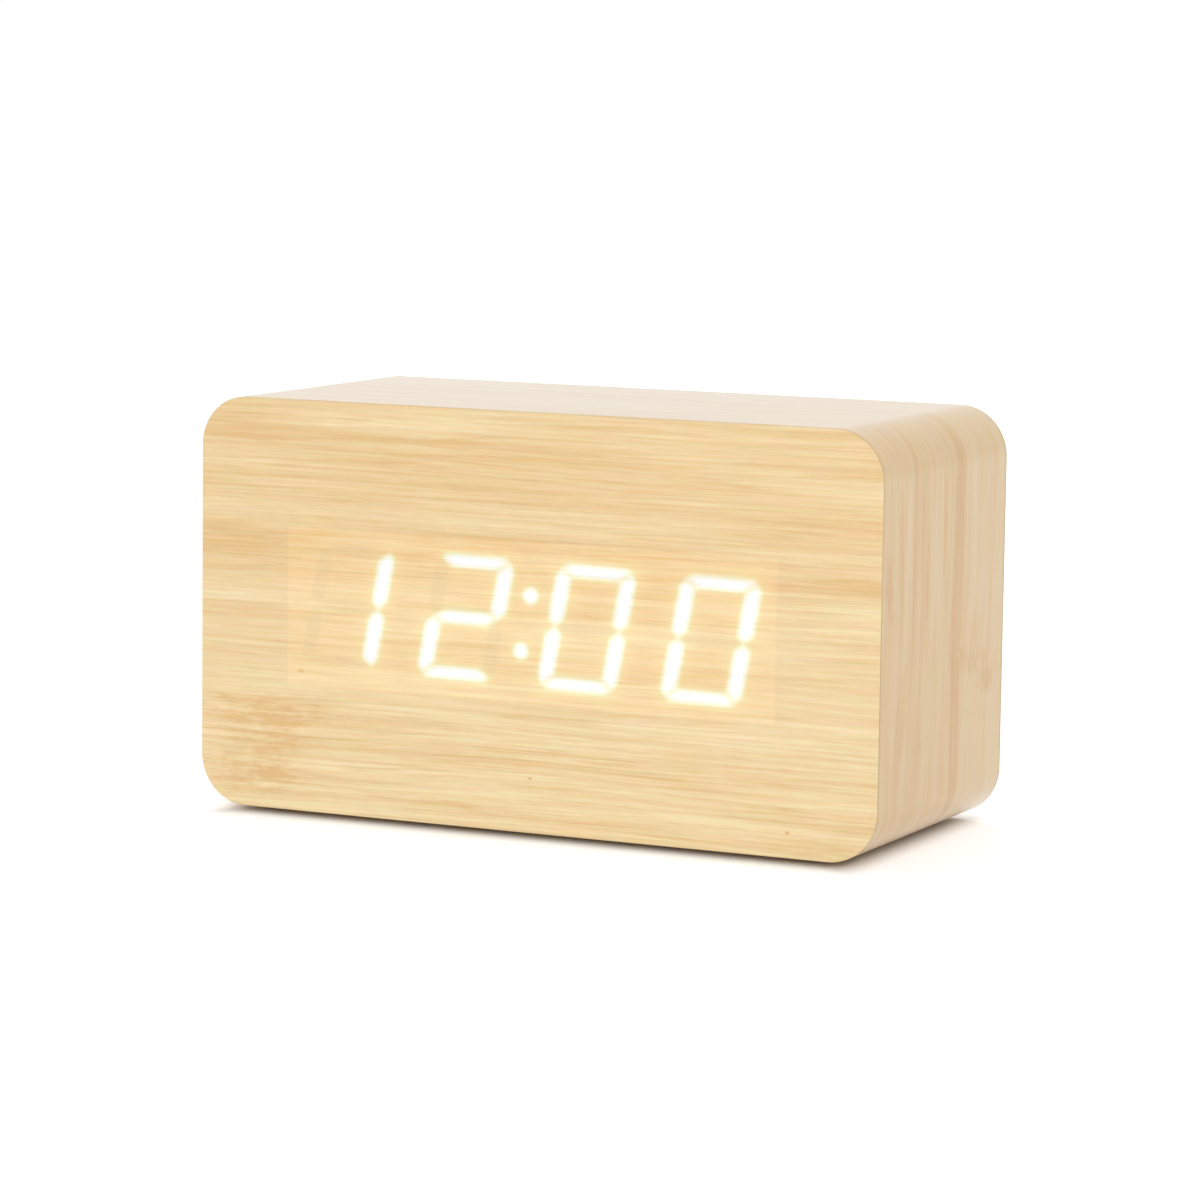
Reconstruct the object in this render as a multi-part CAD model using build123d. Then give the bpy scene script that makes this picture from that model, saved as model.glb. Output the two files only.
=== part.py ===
from build123d import *
import os
from math import hypot, radians, tan

# Desk alarm clock: a fibreboard case wrapped in wood veneer, a four-digit LED display
# that shines through the front veneer, and a moulded rear cover with a battery bay.
#
# Frame, in millimetres: +X to the right seen from the front, +Y into the depth,
# +Z up. The origin is under the middle of the case, on the surface that it stands on.

# ---------------------------------------------------------------- wooden case
case_height = 70.0             # over the veneer, without the feet
case_depth = 55.0
corner_radius = 8.5            # outside radius of the four long edges
veneer = 0.6
side_wall = 6.9                # fibreboard at each side of the pocket
post = 8.5                     # square screw posts in the corners of the pocket
pocket_radius = 2.0            # left by the router in the pocket's corners
wrap_seam = 0.15               # butt joint of the wrapped veneer, on the underside
wrap_seam_x = 24.0

foot_radius = 4.0
foot_height = 1.0
foot_inset_x = 13.0            # foot centre from the case's side
foot_inset_y = 8.5             # foot centre from the front and the back

# -------------------------------------------------------------------- display
display_x = -0.6               # centre of the display, from the middle of the case
digits = 4
reflector_end = 0.3            # reflector beyond the outer digits' share of its length
reflector_margin = 3.05        # reflector above and below the digits
reflector_depth = 7.0
film = 0.2                     # diffuser film between reflector and veneer
window_gap = 0.25              # round the reflector in the core's window
digit_height = 20.9
digit_width = 14.4
digit_pitch = 22.35
digit_slant = 10.5             # degrees
stroke_upright = 2.7
stroke_level = 2.0
segment_gap = 0.4
corner_cut = 1.8               # bevel at a digit's outer corners
colon_radius = 1.4
colon_rise = 4.65              # each dot above or below the digits' mid line
well_taper = 0.7               # size of a light well at the board, over its size in front
reflector_pin_radius = 0.8
reflector_pin_inset = 1.9      # from the reflector's end
reflector_pin_length = 1.3
led_length = 1.6
led_width = 0.8
led_height = 0.6

board = 1.6                    # thickness of both circuit boards
board_corner = 1.0
display_board_end = 6.0        # display board beyond the reflector
display_board_gap = 4.0        # display board to the side of the pocket
board_post_gap = 2.0           # both boards to the screw posts
display_screw_inset_x = 2.9    # screw centre from the display board's end
display_screw_inset_z = 6.0

# ----------------------------------------------------------------- rear cover
cover_step = 2.0               # ledge round the pocket that the cover rests on
cover_recess = 1.0             # cover face below the back of the case
cover = 2.0                    # plate thickness
cover_edge = 0.4               # chamfer round its outer face
cover_gap = 0.3
opening_radius = 6.0
lip_wall = 1.2
lip_depth = 3.0
lip_gap = 0.4
screw_radius = 1.1
screw_head_radius = 2.4
screw_head_height = 1.3
screw_length = 9.0
screw_gap = 0.05               # screw in its pilot hole
screw_hole_gap = 0.3           # screw through a cover or a board
counterbore_gap = 0.4

# --------------------------------------------------------------- battery bay
cell_radius = 5.25             # AAA cell
cells = 3
cell_length = 44.5             # over its button
cell_button = 1.0
cell_button_radius = 1.9
cell_spacing = 0.5             # between neighbouring cells
cell_gap = 0.3                 # cell to tray, and cell to foam pad
contact_room = 1.95            # at each end of a cell
tray_wall = 1.2
tray_end_wall = 1.8
tray_side_gap = 2.6            # tray to the side of the pocket
tray_post_gap = 1.25           # tray to the screw posts above and below it
contact = 0.4                  # nickel strip
contact_pocket = 0.5           # its recess in the end wall
contact_half = 4.6             # strip above and below a cell's axis
contact_fit = 0.15             # strip in its recess
contact_touch = 0.1            # left between a contact and its cell
leaf_half = 4.0                # half the span of the sprung leaf
leaf_width = 5.0
leaf = 0.3
tab_width = 2.4
tab_reach = 1.6                # solder tab beyond the tray floor
cradle = 1.6                   # width of a cradle rib
cradle_height = 2.6
cradle_stations = (-14.0, 0.0, 14.0)

door = 1.6                     # thickness
door_gap = 0.3
door_lap = 1.0                 # door beyond the tray's outside, at each side
door_seat = 1.4                # rebate under the door, and cover round the rebate
door_edge = 0.3                # chamfer round the door's outer face
foam = 1.0
foam_width = 36.0
foam_height = 28.0
hinge_tab_width = 8.0
hinge_tab = 1.2
hinge_tab_drop = 3.0           # tab below the hinge line
hinge_tab_spread = 25.0        # between the two tabs' centres
hinge_room = 0.35              # round the tabs' sweep
latch_width = 10.0
latch = 1.0                    # thickness of the sprung loop
latch_bend = 1.0               # inside radius of the loop
latch_reach = 3.4              # loop's straight leg, inside the door
latch_nib = 0.3
latch_gap = 0.4
thumb_radius = 6.0
thumb_depth = 1.0
grip_count = 3
grip_pitch = 1.8
grip_depth = 0.4
grip_width = 0.8
grip_length = 14.0

# -------------------------------------------------------------- control board
board_standoff = 7.5           # cover's inner face to the board
control_board_width = 48.0
board_side_gap = 3.5           # board to the side of the pocket
board_tray_gap = 3.9           # board to the battery tray
boss_radius = 3.0
boss_inset = 3.5               # from the board's edges
board_screw_radius = 0.9
board_screw_head = 1.9
board_screw_length = 5.0
gusset = 1.0

button_radius = 3.5
button_gap = 0.2               # round a button in its hole
button_stand = 0.8             # button proud of the cover
button_edge = 0.4              # chamfer round its face
button_flange = 4.5
button_flange_height = 1.0
button_flange_gap = 0.3        # flange to cover, and flange to sleeve
button_pitch = 12.5
button_rise = 7.0              # row of buttons above the board's middle
sleeve_wall = 1.0
sleeve_depth = 3.0
dish_depth = 0.4               # shallow dish round the row of buttons
dish_margin = 2.6
mark_depth = 0.3
mark_size = 1.5

switch_size = 6.0
switch_height = 3.5
switch_top = 5.0               # top of the plunger above the board
plunger_radius = 1.75
plunger_gap = 0.15
plunger_seat = 1.3             # plunger inside the switch body
plunger_well = 2.1             # depth of the bore in the switch body

jack_x = 12.5                  # from the board's middle
jack_drop = 7.0                # below the board's middle
jack_width = 8.0
jack_height = 9.0
jack_length = 7.2              # body above the board
jack_collar_radius = 3.2
jack_bore_radius = 1.8
jack_pin_radius = 0.65
jack_wall = 1.5                # behind the bore
jack_face = 0.5                # collar below the cover's face
jack_gap = 0.2

buzzer_x = -9.5
buzzer_drop = 8.0
buzzer_radius = 6.0
buzzer_height = 6.5
buzzer_port = 1.1
buzzer_gap = 0.3
grille_slots = 5
grille_pitch = 2.2
grille_width = 1.1
grille_radius = 5.2

mic_x = 2.5
mic_drop = 9.0
mic_radius = 3.0
mic_height = 2.7
mic_gap = 0.3
mic_hole_radius = 0.75

# ----------------------------------------------- parts on the board's inner side
coin_radius = 10.0
coin_height = 3.2
coin_x = 10.5
coin_seat = 0.3                # cell above the board
clip = 0.4
clip_width = 5.0
clip_foot = 2.0
clip_gap = 0.2
chip_x = -11.5
chip_length = 17.9
chip_width = 7.5
chip_height = 2.3
chip_lift = 0.2
chip_pins = 14                 # on each side
chip_pin_pitch = 1.27
chip_pin_width = 0.45
chip_pin_reach = 1.4
crystal_x = -0.5
crystal_rise = 12.0
crystal_radius = 1.0
crystal_length = 6.0
capacitor_x = -1.0
capacitor_drop = 13.2
capacitor_radius = 3.15
capacitor_height = 7.0
resistor_x = -16.5
resistor_drop = 12.4
resistor_columns = 4
resistor_rows = 2
resistor_pitch = 2.8
resistor_length = 1.6
resistor_width = 0.8
resistor_height = 0.5

ribbon_x = -10.5
ribbon_width = 12.7
ribbon = 0.9
ribbon_rise = 14.0             # where it meets the control board, above the middle
ribbon_step = 10.0             # how much lower it meets the display board
ribbon_bend = 6.0
lead_radius = 0.65
lead_bend = 2.5
lead_inset = 3.0               # solder point from the control board's edge
lead_rest = 0.1                # lead to the tray floor

# ---------------------------------------------------------- derived positions
reflector_width = digits * digit_pitch + 2 * reflector_end
reflector_height = digit_height + 2 * reflector_margin
display_board_width = reflector_width + 2 * display_board_end

cell_pitch = 2 * cell_radius + cell_spacing
bay_length = cell_length + 2 * contact_room
bay_height = (cells - 1) * cell_pitch + 2 * (cell_radius + cell_gap)
tray_length = bay_length + 2 * tray_end_wall
tray_height = bay_height + 2 * tray_wall

# The pocket is as wide as the battery tray and the control board side by side, or as the
# display board, and as high as the tray between the screw posts.
rear_width = tray_side_gap + tray_length + board_tray_gap + control_board_width + board_side_gap
pocket_width = max(rear_width, display_board_width + 2 * display_board_gap)
pocket_height = tray_height + 2 * (tray_post_gap + post)
case_width = pocket_width + 2 * (side_wall + veneer)
opening_width = pocket_width + 2 * cover_step
opening_height = pocket_height + 2 * cover_step
post_x = pocket_width / 2 - post / 2
post_z = pocket_height / 2 - post / 2
board_height = pocket_height - 2 * (post + board_post_gap)

z_case = foot_height
z_mid = z_case + case_height / 2
y_front = -case_depth / 2
y_back = case_depth / 2
y_core_front = y_front + veneer
y_core_back = y_back - veneer
y_reflector = y_core_front + film
y_display_board = y_reflector + reflector_depth
y_display_back = y_display_board + board

y_cover_out = y_back - cover_recess
y_cover_in = y_cover_out - cover
y_board_back = y_cover_in - board_standoff
y_board_front = y_board_back - board

bay_x = -(pocket_width / 2 - tray_side_gap - tray_length / 2)
y_door_in = y_cover_out - door
y_cells = y_door_in - foam - cell_gap - cell_radius
y_tray_floor = y_cells - cell_radius - cell_gap
y_tray_out = y_tray_floor - tray_wall
y_tray_rim = y_door_in - door_gap

door_width = tray_length + 2 * door_lap - 2 * cover_gap
z_door_low = z_mid - tray_height / 2 - door_lap
z_door_high = z_mid + tray_height / 2 + door_gap + latch
z_hinge = z_door_low + door / 2
y_hinge = y_cover_out - door / 2
y_tab_out = y_cover_in - door_gap
y_tab_in = y_tab_out - hinge_tab
z_latch_top = z_door_high + 2 * latch_bend + latch
y_latch_bend = y_door_in - latch_reach
z_catch = z_latch_top + latch_nib + latch_gap

board_x = pocket_width / 2 - board_side_gap - control_board_width / 2
z_buttons = z_mid + button_rise
y_button_end = y_board_back + switch_top
y_button_out = y_cover_out + button_stand
y_flange = y_cover_in - button_flange_gap
x_lead_pad = board_x - control_board_width / 2 + lead_inset
y_lead = y_tray_out - lead_rest - lead_radius


# ------------------------------------------------------------ shape helpers
def about(middle, width):
    """Span of a width about its middle."""
    return (middle - width / 2, middle + width / 2)


def block(x, y, z):
    """Box between the two values of each span."""
    middle = Pos((x[0] + x[1]) / 2, (y[0] + y[1]) / 2, (z[0] + z[1]) / 2)
    return middle * Box(abs(x[1] - x[0]), abs(y[1] - y[0]), abs(z[1] - z[0]))


def rod_y(x, z, radius, y):
    """Cylinder along Y between the two values of y."""
    return Pos(x, (y[0] + y[1]) / 2, z) * Rot(90, 0, 0) * Cylinder(radius, abs(y[1] - y[0]))


def rod_x(y, z, radius, x):
    """Cylinder along X between the two values of x."""
    return Pos((x[0] + x[1]) / 2, y, z) * Rot(0, 90, 0) * Cylinder(radius, abs(x[1] - x[0]))


def tube_y(x, z, outer, inner, y):
    """Sleeve along Y."""
    return rod_y(x, z, outer, y) - rod_y(x, z, inner, y)


def front_plane(y):
    """Plane at depth y, seen from the front: local x is +X, local y is +Z."""
    return Plane(origin=(0, y, 0), x_dir=(1, 0, 0), z_dir=(0, -1, 0))


def slab(profile, y):
    """Solid of a profile drawn as seen from the front, between the two values of y."""
    return extrude(front_plane(y[1]) * profile, y[1] - y[0])


def rounded(width, height, radius, x=0.0):
    """Rounded rectangle about a point half way up the case."""
    return Pos(x, z_mid) * RectangleRounded(width, height, radius)


def outer_edges(plate):
    """Edges round the face of a plate that looks to the back."""
    return plate.faces().sort_by(Axis.Y)[-1].edges()


def corners(half_x, half_z, x=0.0, z=z_mid):
    """The four corner points of a rectangle, for fasteners."""
    return [(x + i * half_x, z + j * half_z) for i in (-1, 1) for j in (-1, 1)]


def screw(x, z, y_seat, way, radius, head_radius, head_height, length):
    """Pan-head screw: its head lies on the side of the seat that way points to."""
    head = rod_y(x, z, head_radius, (y_seat, y_seat + way * head_height))
    head = chamfer(head.edges().filter_by(GeomType.CIRCLE).sort_by(Axis.Y)[-1 if way > 0 else 0],
                   head_height / 3)
    shank = rod_y(x, z, radius, (y_seat, y_seat - way * length))
    shank = chamfer(shank.edges().filter_by(GeomType.CIRCLE).sort_by(Axis.Y)[0 if way > 0 else -1],
                    radius * 0.7)
    return head + shank


# ---------------------------------------------------------------- wooden case
def pocket_profile(gap=0.0):
    """Pocket of the core with its screw posts standing in the corners, less a gap."""
    width, height = pocket_width - 2 * gap, pocket_height - 2 * gap
    profile = Rectangle(width, height)
    for x, z in corners((width - post) / 2, (height - post) / 2, z=0.0):
        profile -= Pos(x, z) * Rectangle(post, post)
    return Pos(0, z_mid) * fillet(profile.vertices(), pocket_radius)


def case_profile(inset=0.0):
    """Outline of the case from the front, less an inset."""
    return rounded(case_width - 2 * inset, case_height - 2 * inset, corner_radius - inset)


def opening_profile(gap=0.0):
    """Outline of the opening for the rear cover, less a gap."""
    return rounded(opening_width - 2 * gap, opening_height - 2 * gap, opening_radius - gap)


def cover_screw_points():
    return corners(post_x, post_z)


def display_screw_points():
    return corners(display_board_width / 2 - display_screw_inset_x,
                   board_height / 2 - display_screw_inset_z, display_x, z_mid)


def make_wood_core():
    """Fibreboard block with a display window in front and a pocket from the back."""
    core = slab(case_profile(veneer), (y_core_front, y_core_back))
    core -= slab(pocket_profile(), (y_display_board, y_core_back))
    core -= slab(opening_profile(), (y_cover_in, y_core_back))
    core -= block(about(display_x, reflector_width + 2 * window_gap), (y_core_front, y_display_board),
                  about(z_mid, reflector_height + 2 * window_gap))
    for x, z in cover_screw_points():
        core -= rod_y(x, z, screw_radius + screw_gap, (y_cover_in - screw_length, y_cover_in))
    for x, z in display_screw_points():
        core -= rod_y(x, z, board_screw_radius + screw_gap,
                      (y_display_board - board_screw_length, y_display_board))
    return core


def make_front_veneer():
    return slab(case_profile(), (y_front, y_core_front))


def make_wrap_veneer():
    """Strip that goes once round the core and meets itself on the underside."""
    strip = slab(case_profile() - case_profile(veneer), (y_core_front, y_core_back))
    return strip - block(about(wrap_seam_x, wrap_seam), (y_core_front, y_core_back),
                         (z_case, z_case + 2 * veneer))


def make_back_veneer():
    """Frame of veneer round the opening for the rear cover."""
    return slab(case_profile() - opening_profile(), (y_core_back, y_back))


def make_foot_pads():
    pads = []
    for x in (-1, 1):
        for y in (-1, 1):
            place = Pos(x * (case_width / 2 - foot_inset_x), y * (case_depth / 2 - foot_inset_y), z_case / 2)
            pad = Cylinder(foot_radius, foot_height)
            pads.append(place * chamfer(pad.edges().sort_by(Axis.Z)[0], foot_height / 4))
    return Compound(children=pads)


# -------------------------------------------------------------------- display
def level_segment():
    """Top segment of a digit, about the digit's centre and upright."""
    half_w, half_h = digit_width / 2, digit_height / 2
    mitre = hypot(stroke_upright, stroke_level)
    reach = 1 - (corner_cut + (stroke_upright - stroke_level) / mitre * segment_gap / 2) \
        / (stroke_upright + stroke_level)
    tip_x = half_w - stroke_upright - stroke_level / mitre * segment_gap / 2 + reach * stroke_upright
    tip_z = half_h - stroke_level + stroke_upright / mitre * segment_gap / 2 + reach * stroke_level
    inner_x = half_w - stroke_upright - segment_gap / 2 * mitre / stroke_level
    right = [(half_w - corner_cut, half_h), (tip_x, tip_z), (inner_x, half_h - stroke_level)]
    return right + [(-x, z) for x, z in reversed(right)]


def middle_segment():
    """Middle segment, pointed at both ends."""
    mitre = hypot(stroke_upright, stroke_level)
    gap = segment_gap / 2 * mitre / stroke_level
    tip = digit_width / 2 - stroke_upright / 2 - gap
    shoulder = digit_width / 2 - stroke_upright - gap
    right = [(shoulder, stroke_level / 2), (tip, 0), (shoulder, -stroke_level / 2)]
    return right + [(-x, z) for x, z in reversed(right)]


def upright_segment():
    """Upper right segment, bevelled above and pointed below."""
    half_w, half_h = digit_width / 2, digit_height / 2
    mitre = hypot(stroke_upright, stroke_level)
    reach = 1 - (corner_cut - (stroke_upright - stroke_level) / mitre * segment_gap / 2) \
        / (stroke_upright + stroke_level)
    tip_x = half_w - stroke_upright + stroke_level / mitre * segment_gap / 2 + reach * stroke_upright
    tip_z = half_h - stroke_level - stroke_upright / mitre * segment_gap / 2 + reach * stroke_level
    gap = segment_gap / 2 * mitre / stroke_upright
    return [(half_w, half_h - corner_cut), (tip_x, tip_z),
            (half_w - stroke_upright, half_h - stroke_level - gap),
            (half_w - stroke_upright, stroke_level / 2 + gap),
            (half_w - stroke_upright / 2, gap),
            (half_w, stroke_level / 2 + gap)]


def digit_segments():
    """The seven segments of one digit, upright, each with whether it stands on end."""
    level, upright = level_segment(), upright_segment()
    segments = [(level, False), ([(x, -z) for x, z in level], False), (middle_segment(), False)]
    for i in (-1, 1):
        for j in (-1, 1):
            segments.append(([(i * x, j * z) for x, z in upright], True))
    return segments


def slanted(x, z):
    """Point of a digit on the display, leaning to the right with height."""
    return (x + z * tan(radians(digit_slant)) + display_x, z + z_mid)


def display_segments():
    """Outline, middle and stance of all the segments of the four digits."""
    found = []
    for digit in range(digits):
        shift = (digit - (digits - 1) / 2) * digit_pitch
        for points, on_end in digit_segments():
            outline = [slanted(x, z) for x, z in points]
            outline = [(x + shift, z) for x, z in outline]
            middle = (sum(x for x, z in outline) / len(outline), sum(z for x, z in outline) / len(outline))
            found.append((outline, middle, on_end))
    return found


def colon_points():
    return [slanted(0, i * colon_rise) for i in (-1, 1)]


def frustum(front, rear):
    """Solid with flat sides between two outlines of as many points."""
    sides = [[front[i - 1], front[i], rear[i], rear[i - 1]] for i in range(len(front))]
    return Solid(Shell([Face(Wire.make_polygon(loop)) for loop in [front, rear] + sides]))


def light_well(outline, middle):
    """Funnel from a segment's outline in front to a smaller one at the board."""
    front = [Vector(x, y_reflector, z) for x, z in outline]
    rear = [Vector(middle[0] + (x - middle[0]) * well_taper, y_display_board,
                   middle[1] + (z - middle[1]) * well_taper) for x, z in outline]
    return frustum(front, rear)


def reflector_pins(gap):
    """Two pins that key the reflector to its board."""
    reach = reflector_width / 2 - reflector_pin_inset
    return [rod_y(display_x + i * reach, z_mid, reflector_pin_radius + gap,
                  (y_display_board, y_display_board + reflector_pin_length + gap)) for i in (-1, 1)]


def make_display_reflector():
    """White block with a tapered light well for each segment and colon dot."""
    body = slab(Pos(display_x, z_mid) * Rectangle(reflector_width, reflector_height),
                (y_reflector, y_display_board))
    wells = [light_well(outline, middle) for outline, middle, on_end in display_segments()]
    for x, z in colon_points():
        dot = Pos(x, (y_reflector + y_display_board) / 2, z) * Rot(-90, 0, 0)
        wells.append(dot * Cone(colon_radius, colon_radius * well_taper, reflector_depth))
    return body - wells + reflector_pins(0.0)


def make_diffuser_film():
    return slab(Pos(display_x, z_mid) * Rectangle(reflector_width, reflector_height),
                (y_core_front, y_reflector))


def make_display_board():
    plate = slab(rounded(display_board_width, board_height, board_corner, x=display_x),
                 (y_display_board, y_display_back))
    for x, z in display_screw_points():
        plate -= rod_y(x, z, board_screw_radius + screw_hole_gap, (y_display_board, y_display_back))
    return plate - reflector_pins(window_gap)


def make_led_chips():
    """One chip under each segment and each dot."""
    places = [(middle, on_end) for outline, middle, on_end in display_segments()]
    places += [(point, True) for point in colon_points()]
    chips = []
    for (x, z), on_end in places:
        wide, tall = (led_width, led_length) if on_end else (led_length, led_width)
        chips.append(block(about(x, wide), (y_display_board - led_height, y_display_board), about(z, tall)))
    return Compound(children=chips)


def make_display_screws():
    return Compound(children=[
        screw(x, z, y_display_back, 1, board_screw_radius, board_screw_head, screw_head_height,
              board + board_screw_length - screw_gap) for x, z in display_screw_points()])


# ----------------------------------------------------------------- rear cover
def board_point(x, z):
    """Place on the control board, from its middle."""
    return (board_x + x, z_mid + z)


def boss_points():
    return corners(control_board_width / 2 - boss_inset, board_height / 2 - boss_inset, board_x)


def button_points():
    return [(board_x + i * button_pitch, z_buttons) for i in (-1, 0, 1)]


def hinge_tab_points():
    return [bay_x + i * hinge_tab_spread / 2 for i in (-1, 1)]


def cover_plate():
    """Flat plate with counterbored screw holes and a lip that enters the pocket."""
    plate = slab(opening_profile(cover_gap), (y_cover_in, y_cover_out))
    plate = chamfer(outer_edges(plate), cover_edge)
    lip = pocket_profile(lip_gap) - pocket_profile(lip_gap + lip_wall)
    plate += slab(lip, (y_cover_in - lip_depth, y_cover_in))
    for x, z in cover_screw_points():
        plate -= rod_y(x, z, screw_radius + screw_hole_gap, (y_cover_in, y_cover_out))
        plate -= rod_y(x, z, screw_head_radius + counterbore_gap,
                       (y_cover_out - screw_head_height, y_cover_out))
    return plate


def battery_tray():
    """Open box for the cells, with its floor inside the clock."""
    outer = block(about(bay_x, tray_length), (y_tray_out, y_tray_rim), about(z_mid, tray_height))
    return outer - bay_space()


def door_rebate():
    """Seat under the door that joins the tray to the cover's plate all round."""
    seat = block(about(bay_x, door_width + 2 * (door_gap + door_seat)), (y_tray_rim - door_seat, y_tray_rim),
                 (z_door_low - door_gap - door_seat, z_door_high + door_gap + door_seat))
    room = slab(pocket_profile(lip_gap), (y_tray_rim - door_seat, y_tray_rim))
    return (seat & room) - bay_space()


def bay_space():
    return block(about(bay_x, bay_length), (y_tray_floor, y_cover_out), about(z_mid, bay_height))


def cradle_ribs():
    """Ribs between the cells, hollowed to the cells' curve."""
    ribs = []
    for row in range(1, cells):
        z = cell_z(row) + cell_pitch / 2
        for x in cradle_stations:
            ribs.append(block(about(bay_x + x, cradle), (y_tray_floor, y_tray_floor + cradle_height),
                              about(z, cell_pitch / 2)))
    hollows = [rod_x(y_cells, cell_z(row), cell_radius + cell_gap, about(bay_x, cell_length))
               for row in range(cells)]
    return [rib - hollows for rib in ribs]


def cell_z(row):
    """Height of a cell's axis, with row 0 at the top."""
    return z_mid + ((cells - 1) / 2 - row) * cell_pitch


def plus_side(row):
    """End of a cell that carries its button: neighbouring cells lie head to tail."""
    return 1 if row % 2 else -1


def contact_places():
    """Each contact's end of the tray, and the rows of cells that it touches."""
    return {
        "contact_negative": (1, (0,)),
        "contact_bridge_left": (-1, (0, 1)),
        "contact_bridge_right": (1, (1, 2)),
        "contact_positive": (-1, (2,)),
    }


def has_tab(name):
    """Whether a lead is soldered to a contact."""
    return name in ("contact_negative", "contact_positive")


def contact_span(rows):
    """Lowest and highest point of a contact strip behind the given rows of cells."""
    heights = [cell_z(row) for row in rows]
    return (min(heights) - contact_half, max(heights) + contact_half)


def end_wall_x(side, depth):
    """Place in an end wall of the tray, a depth below its inner face."""
    return bay_x + side * (bay_length / 2 + depth)


def tab_z(rows):
    """Height of a contact's solder tab, beside the cell's axis on the tray's inner side."""
    height = sum(contact_span(rows)) / 2
    return height + (contact_half / 2 if height < z_mid else -contact_half / 2)


def contact_recesses():
    """Recess of each contact in its end wall, and the slot for its solder tab."""
    cuts = []
    for name, (side, rows) in contact_places().items():
        low, high = contact_span(rows)
        x = (end_wall_x(side, 0), end_wall_x(side, contact_pocket))
        cuts.append(block(x, (y_tray_floor, y_tray_rim), (low - contact_fit, high + contact_fit)))
        if has_tab(name):
            cuts.append(block(x, (y_tray_out, y_tray_floor), about(tab_z(rows), tab_width + 2 * contact_fit)))
    return cuts


def door_opening():
    """Hole for the door and its latch, and the thumb scoop beside the latch."""
    hole = block(about(bay_x, door_width + 2 * door_gap), (y_tray_rim, y_cover_out),
                 (z_door_low - door_gap, z_door_high + door_gap))
    hole += block(about(bay_x, latch_width + 2 * latch_gap), (y_cover_in - lip_depth, y_cover_out),
                  (z_mid + tray_height / 2, z_catch))
    scoop = rod_y(bay_x, z_catch, thumb_radius, (y_cover_out - thumb_depth, y_cover_out))
    scoop = scoop - block(about(bay_x, 2 * thumb_radius), (y_cover_in, y_cover_out),
                          (z_catch - thumb_radius, z_catch))
    return hole + scoop


def hinge_notches():
    """Room in the tray's lower wall for the hinge tabs' swing."""
    swing = hypot(y_hinge - y_tab_in, hinge_tab_drop) + hinge_room
    return [block(about(x, hinge_tab_width + 2 * hinge_room), (y_hinge - swing, y_tray_rim),
                  (z_door_low - hinge_tab_drop, z_mid - bay_height / 2)) for x in hinge_tab_points()]


def bosses():
    """Screw bosses that carry the control board, each with two gussets."""
    made = []
    for x, z in boss_points():
        made.append(rod_y(x, z, boss_radius, (y_board_back, y_cover_in)))
        reach = (y_cover_in - board_standoff / 2, y_cover_in)
        made.append(block(about(x, 2 * boss_radius + 2 * gusset), reach, about(z, gusset)))
        made.append(block(about(x, gusset), reach, about(z, 2 * boss_radius + 2 * gusset)))
    return made


def boss_holes():
    return [rod_y(x, z, board_screw_radius + screw_gap, (y_board_back, y_board_back + board_screw_length))
            for x, z in boss_points()]


def cover_sleeves():
    """Sleeves that guide the buttons and lead the sound out."""
    flange_bore = button_flange + button_flange_gap
    sleeves = [tube_y(x, z, flange_bore + sleeve_wall, flange_bore, (y_cover_in - sleeve_depth, y_cover_in))
               for x, z in button_points()]
    x, z = board_point(buzzer_x, -buzzer_drop)
    bore = buzzer_radius + buzzer_gap
    sleeves.append(tube_y(x, z, bore + sleeve_wall, bore,
                          (y_board_back + buzzer_height - sleeve_depth / 2, y_cover_in)))
    x, z = board_point(mic_x, -mic_drop)
    bore = mic_radius + mic_gap
    sleeves.append(tube_y(x, z, bore + sleeve_wall, bore, (y_board_back + mic_height / 2, y_cover_in)))
    return sleeves


def grille():
    """Slots over the buzzer, shorter towards the edge of a circle."""
    x, z = board_point(buzzer_x, -buzzer_drop)
    slots = []
    for i in range(grille_slots):
        rise = (i - (grille_slots - 1) / 2) * grille_pitch
        reach = (grille_radius ** 2 - rise ** 2) ** 0.5
        slots.append(slab(Pos(x, z + rise) * SlotOverall(2 * reach, grille_width), (y_cover_in, y_cover_out)))
    return slots


def cover_holes():
    """Holes for the buttons, the jack, the microphone and the buzzer's sound."""
    both = (y_cover_in, y_cover_out)
    holes = [rod_y(x, z, button_radius + button_gap, both) for x, z in button_points()]
    holes.append(rod_y(*board_point(jack_x, -jack_drop), jack_collar_radius + jack_gap, both))
    holes.append(rod_y(*board_point(mic_x, -mic_drop), mic_hole_radius, both))
    dish = SlotOverall(2 * (button_pitch + button_radius + dish_margin), 2 * (button_radius + dish_margin))
    holes.append(slab(Pos(board_x, z_buttons) * dish, (y_cover_out - dish_depth, y_cover_out)))
    return holes + grille()


def make_rear_cover():
    """Moulded cover: battery tray, board bosses, sleeves and openings in one piece."""
    shell = cover_plate() + battery_tray() + door_rebate() + cradle_ribs()
    shell += bosses() + cover_sleeves()
    shell -= contact_recesses() + hinge_notches() + boss_holes() + cover_holes()
    shell -= door_opening()
    return shell - (bay_space() - cradle_space())


def cradle_space():
    """The part of the bay that the cradle ribs stand in."""
    return block(about(bay_x, bay_length), (y_tray_floor, y_tray_floor + cradle_height),
                 about(z_mid, bay_height))


def make_cover_screws():
    return Compound(children=[
        screw(x, z, y_cover_out - screw_head_height, 1, screw_radius, screw_head_radius,
              screw_head_height, cover - screw_head_height + screw_length - screw_gap)
        for x, z in cover_screw_points()])


# --------------------------------------------------------------- battery door
def hinge_tabs():
    """Two hooks that reach behind the cover under the door."""
    tabs = []
    for x in hinge_tab_points():
        span = about(x, hinge_tab_width)
        tabs.append(block(span, (y_tab_in, y_tab_out), (z_hinge - hinge_tab_drop, z_hinge + hinge_tab)))
        tabs.append(block(span, (y_tab_in, y_door_in), (z_hinge, z_hinge + hinge_tab)))
    return tabs


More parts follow.
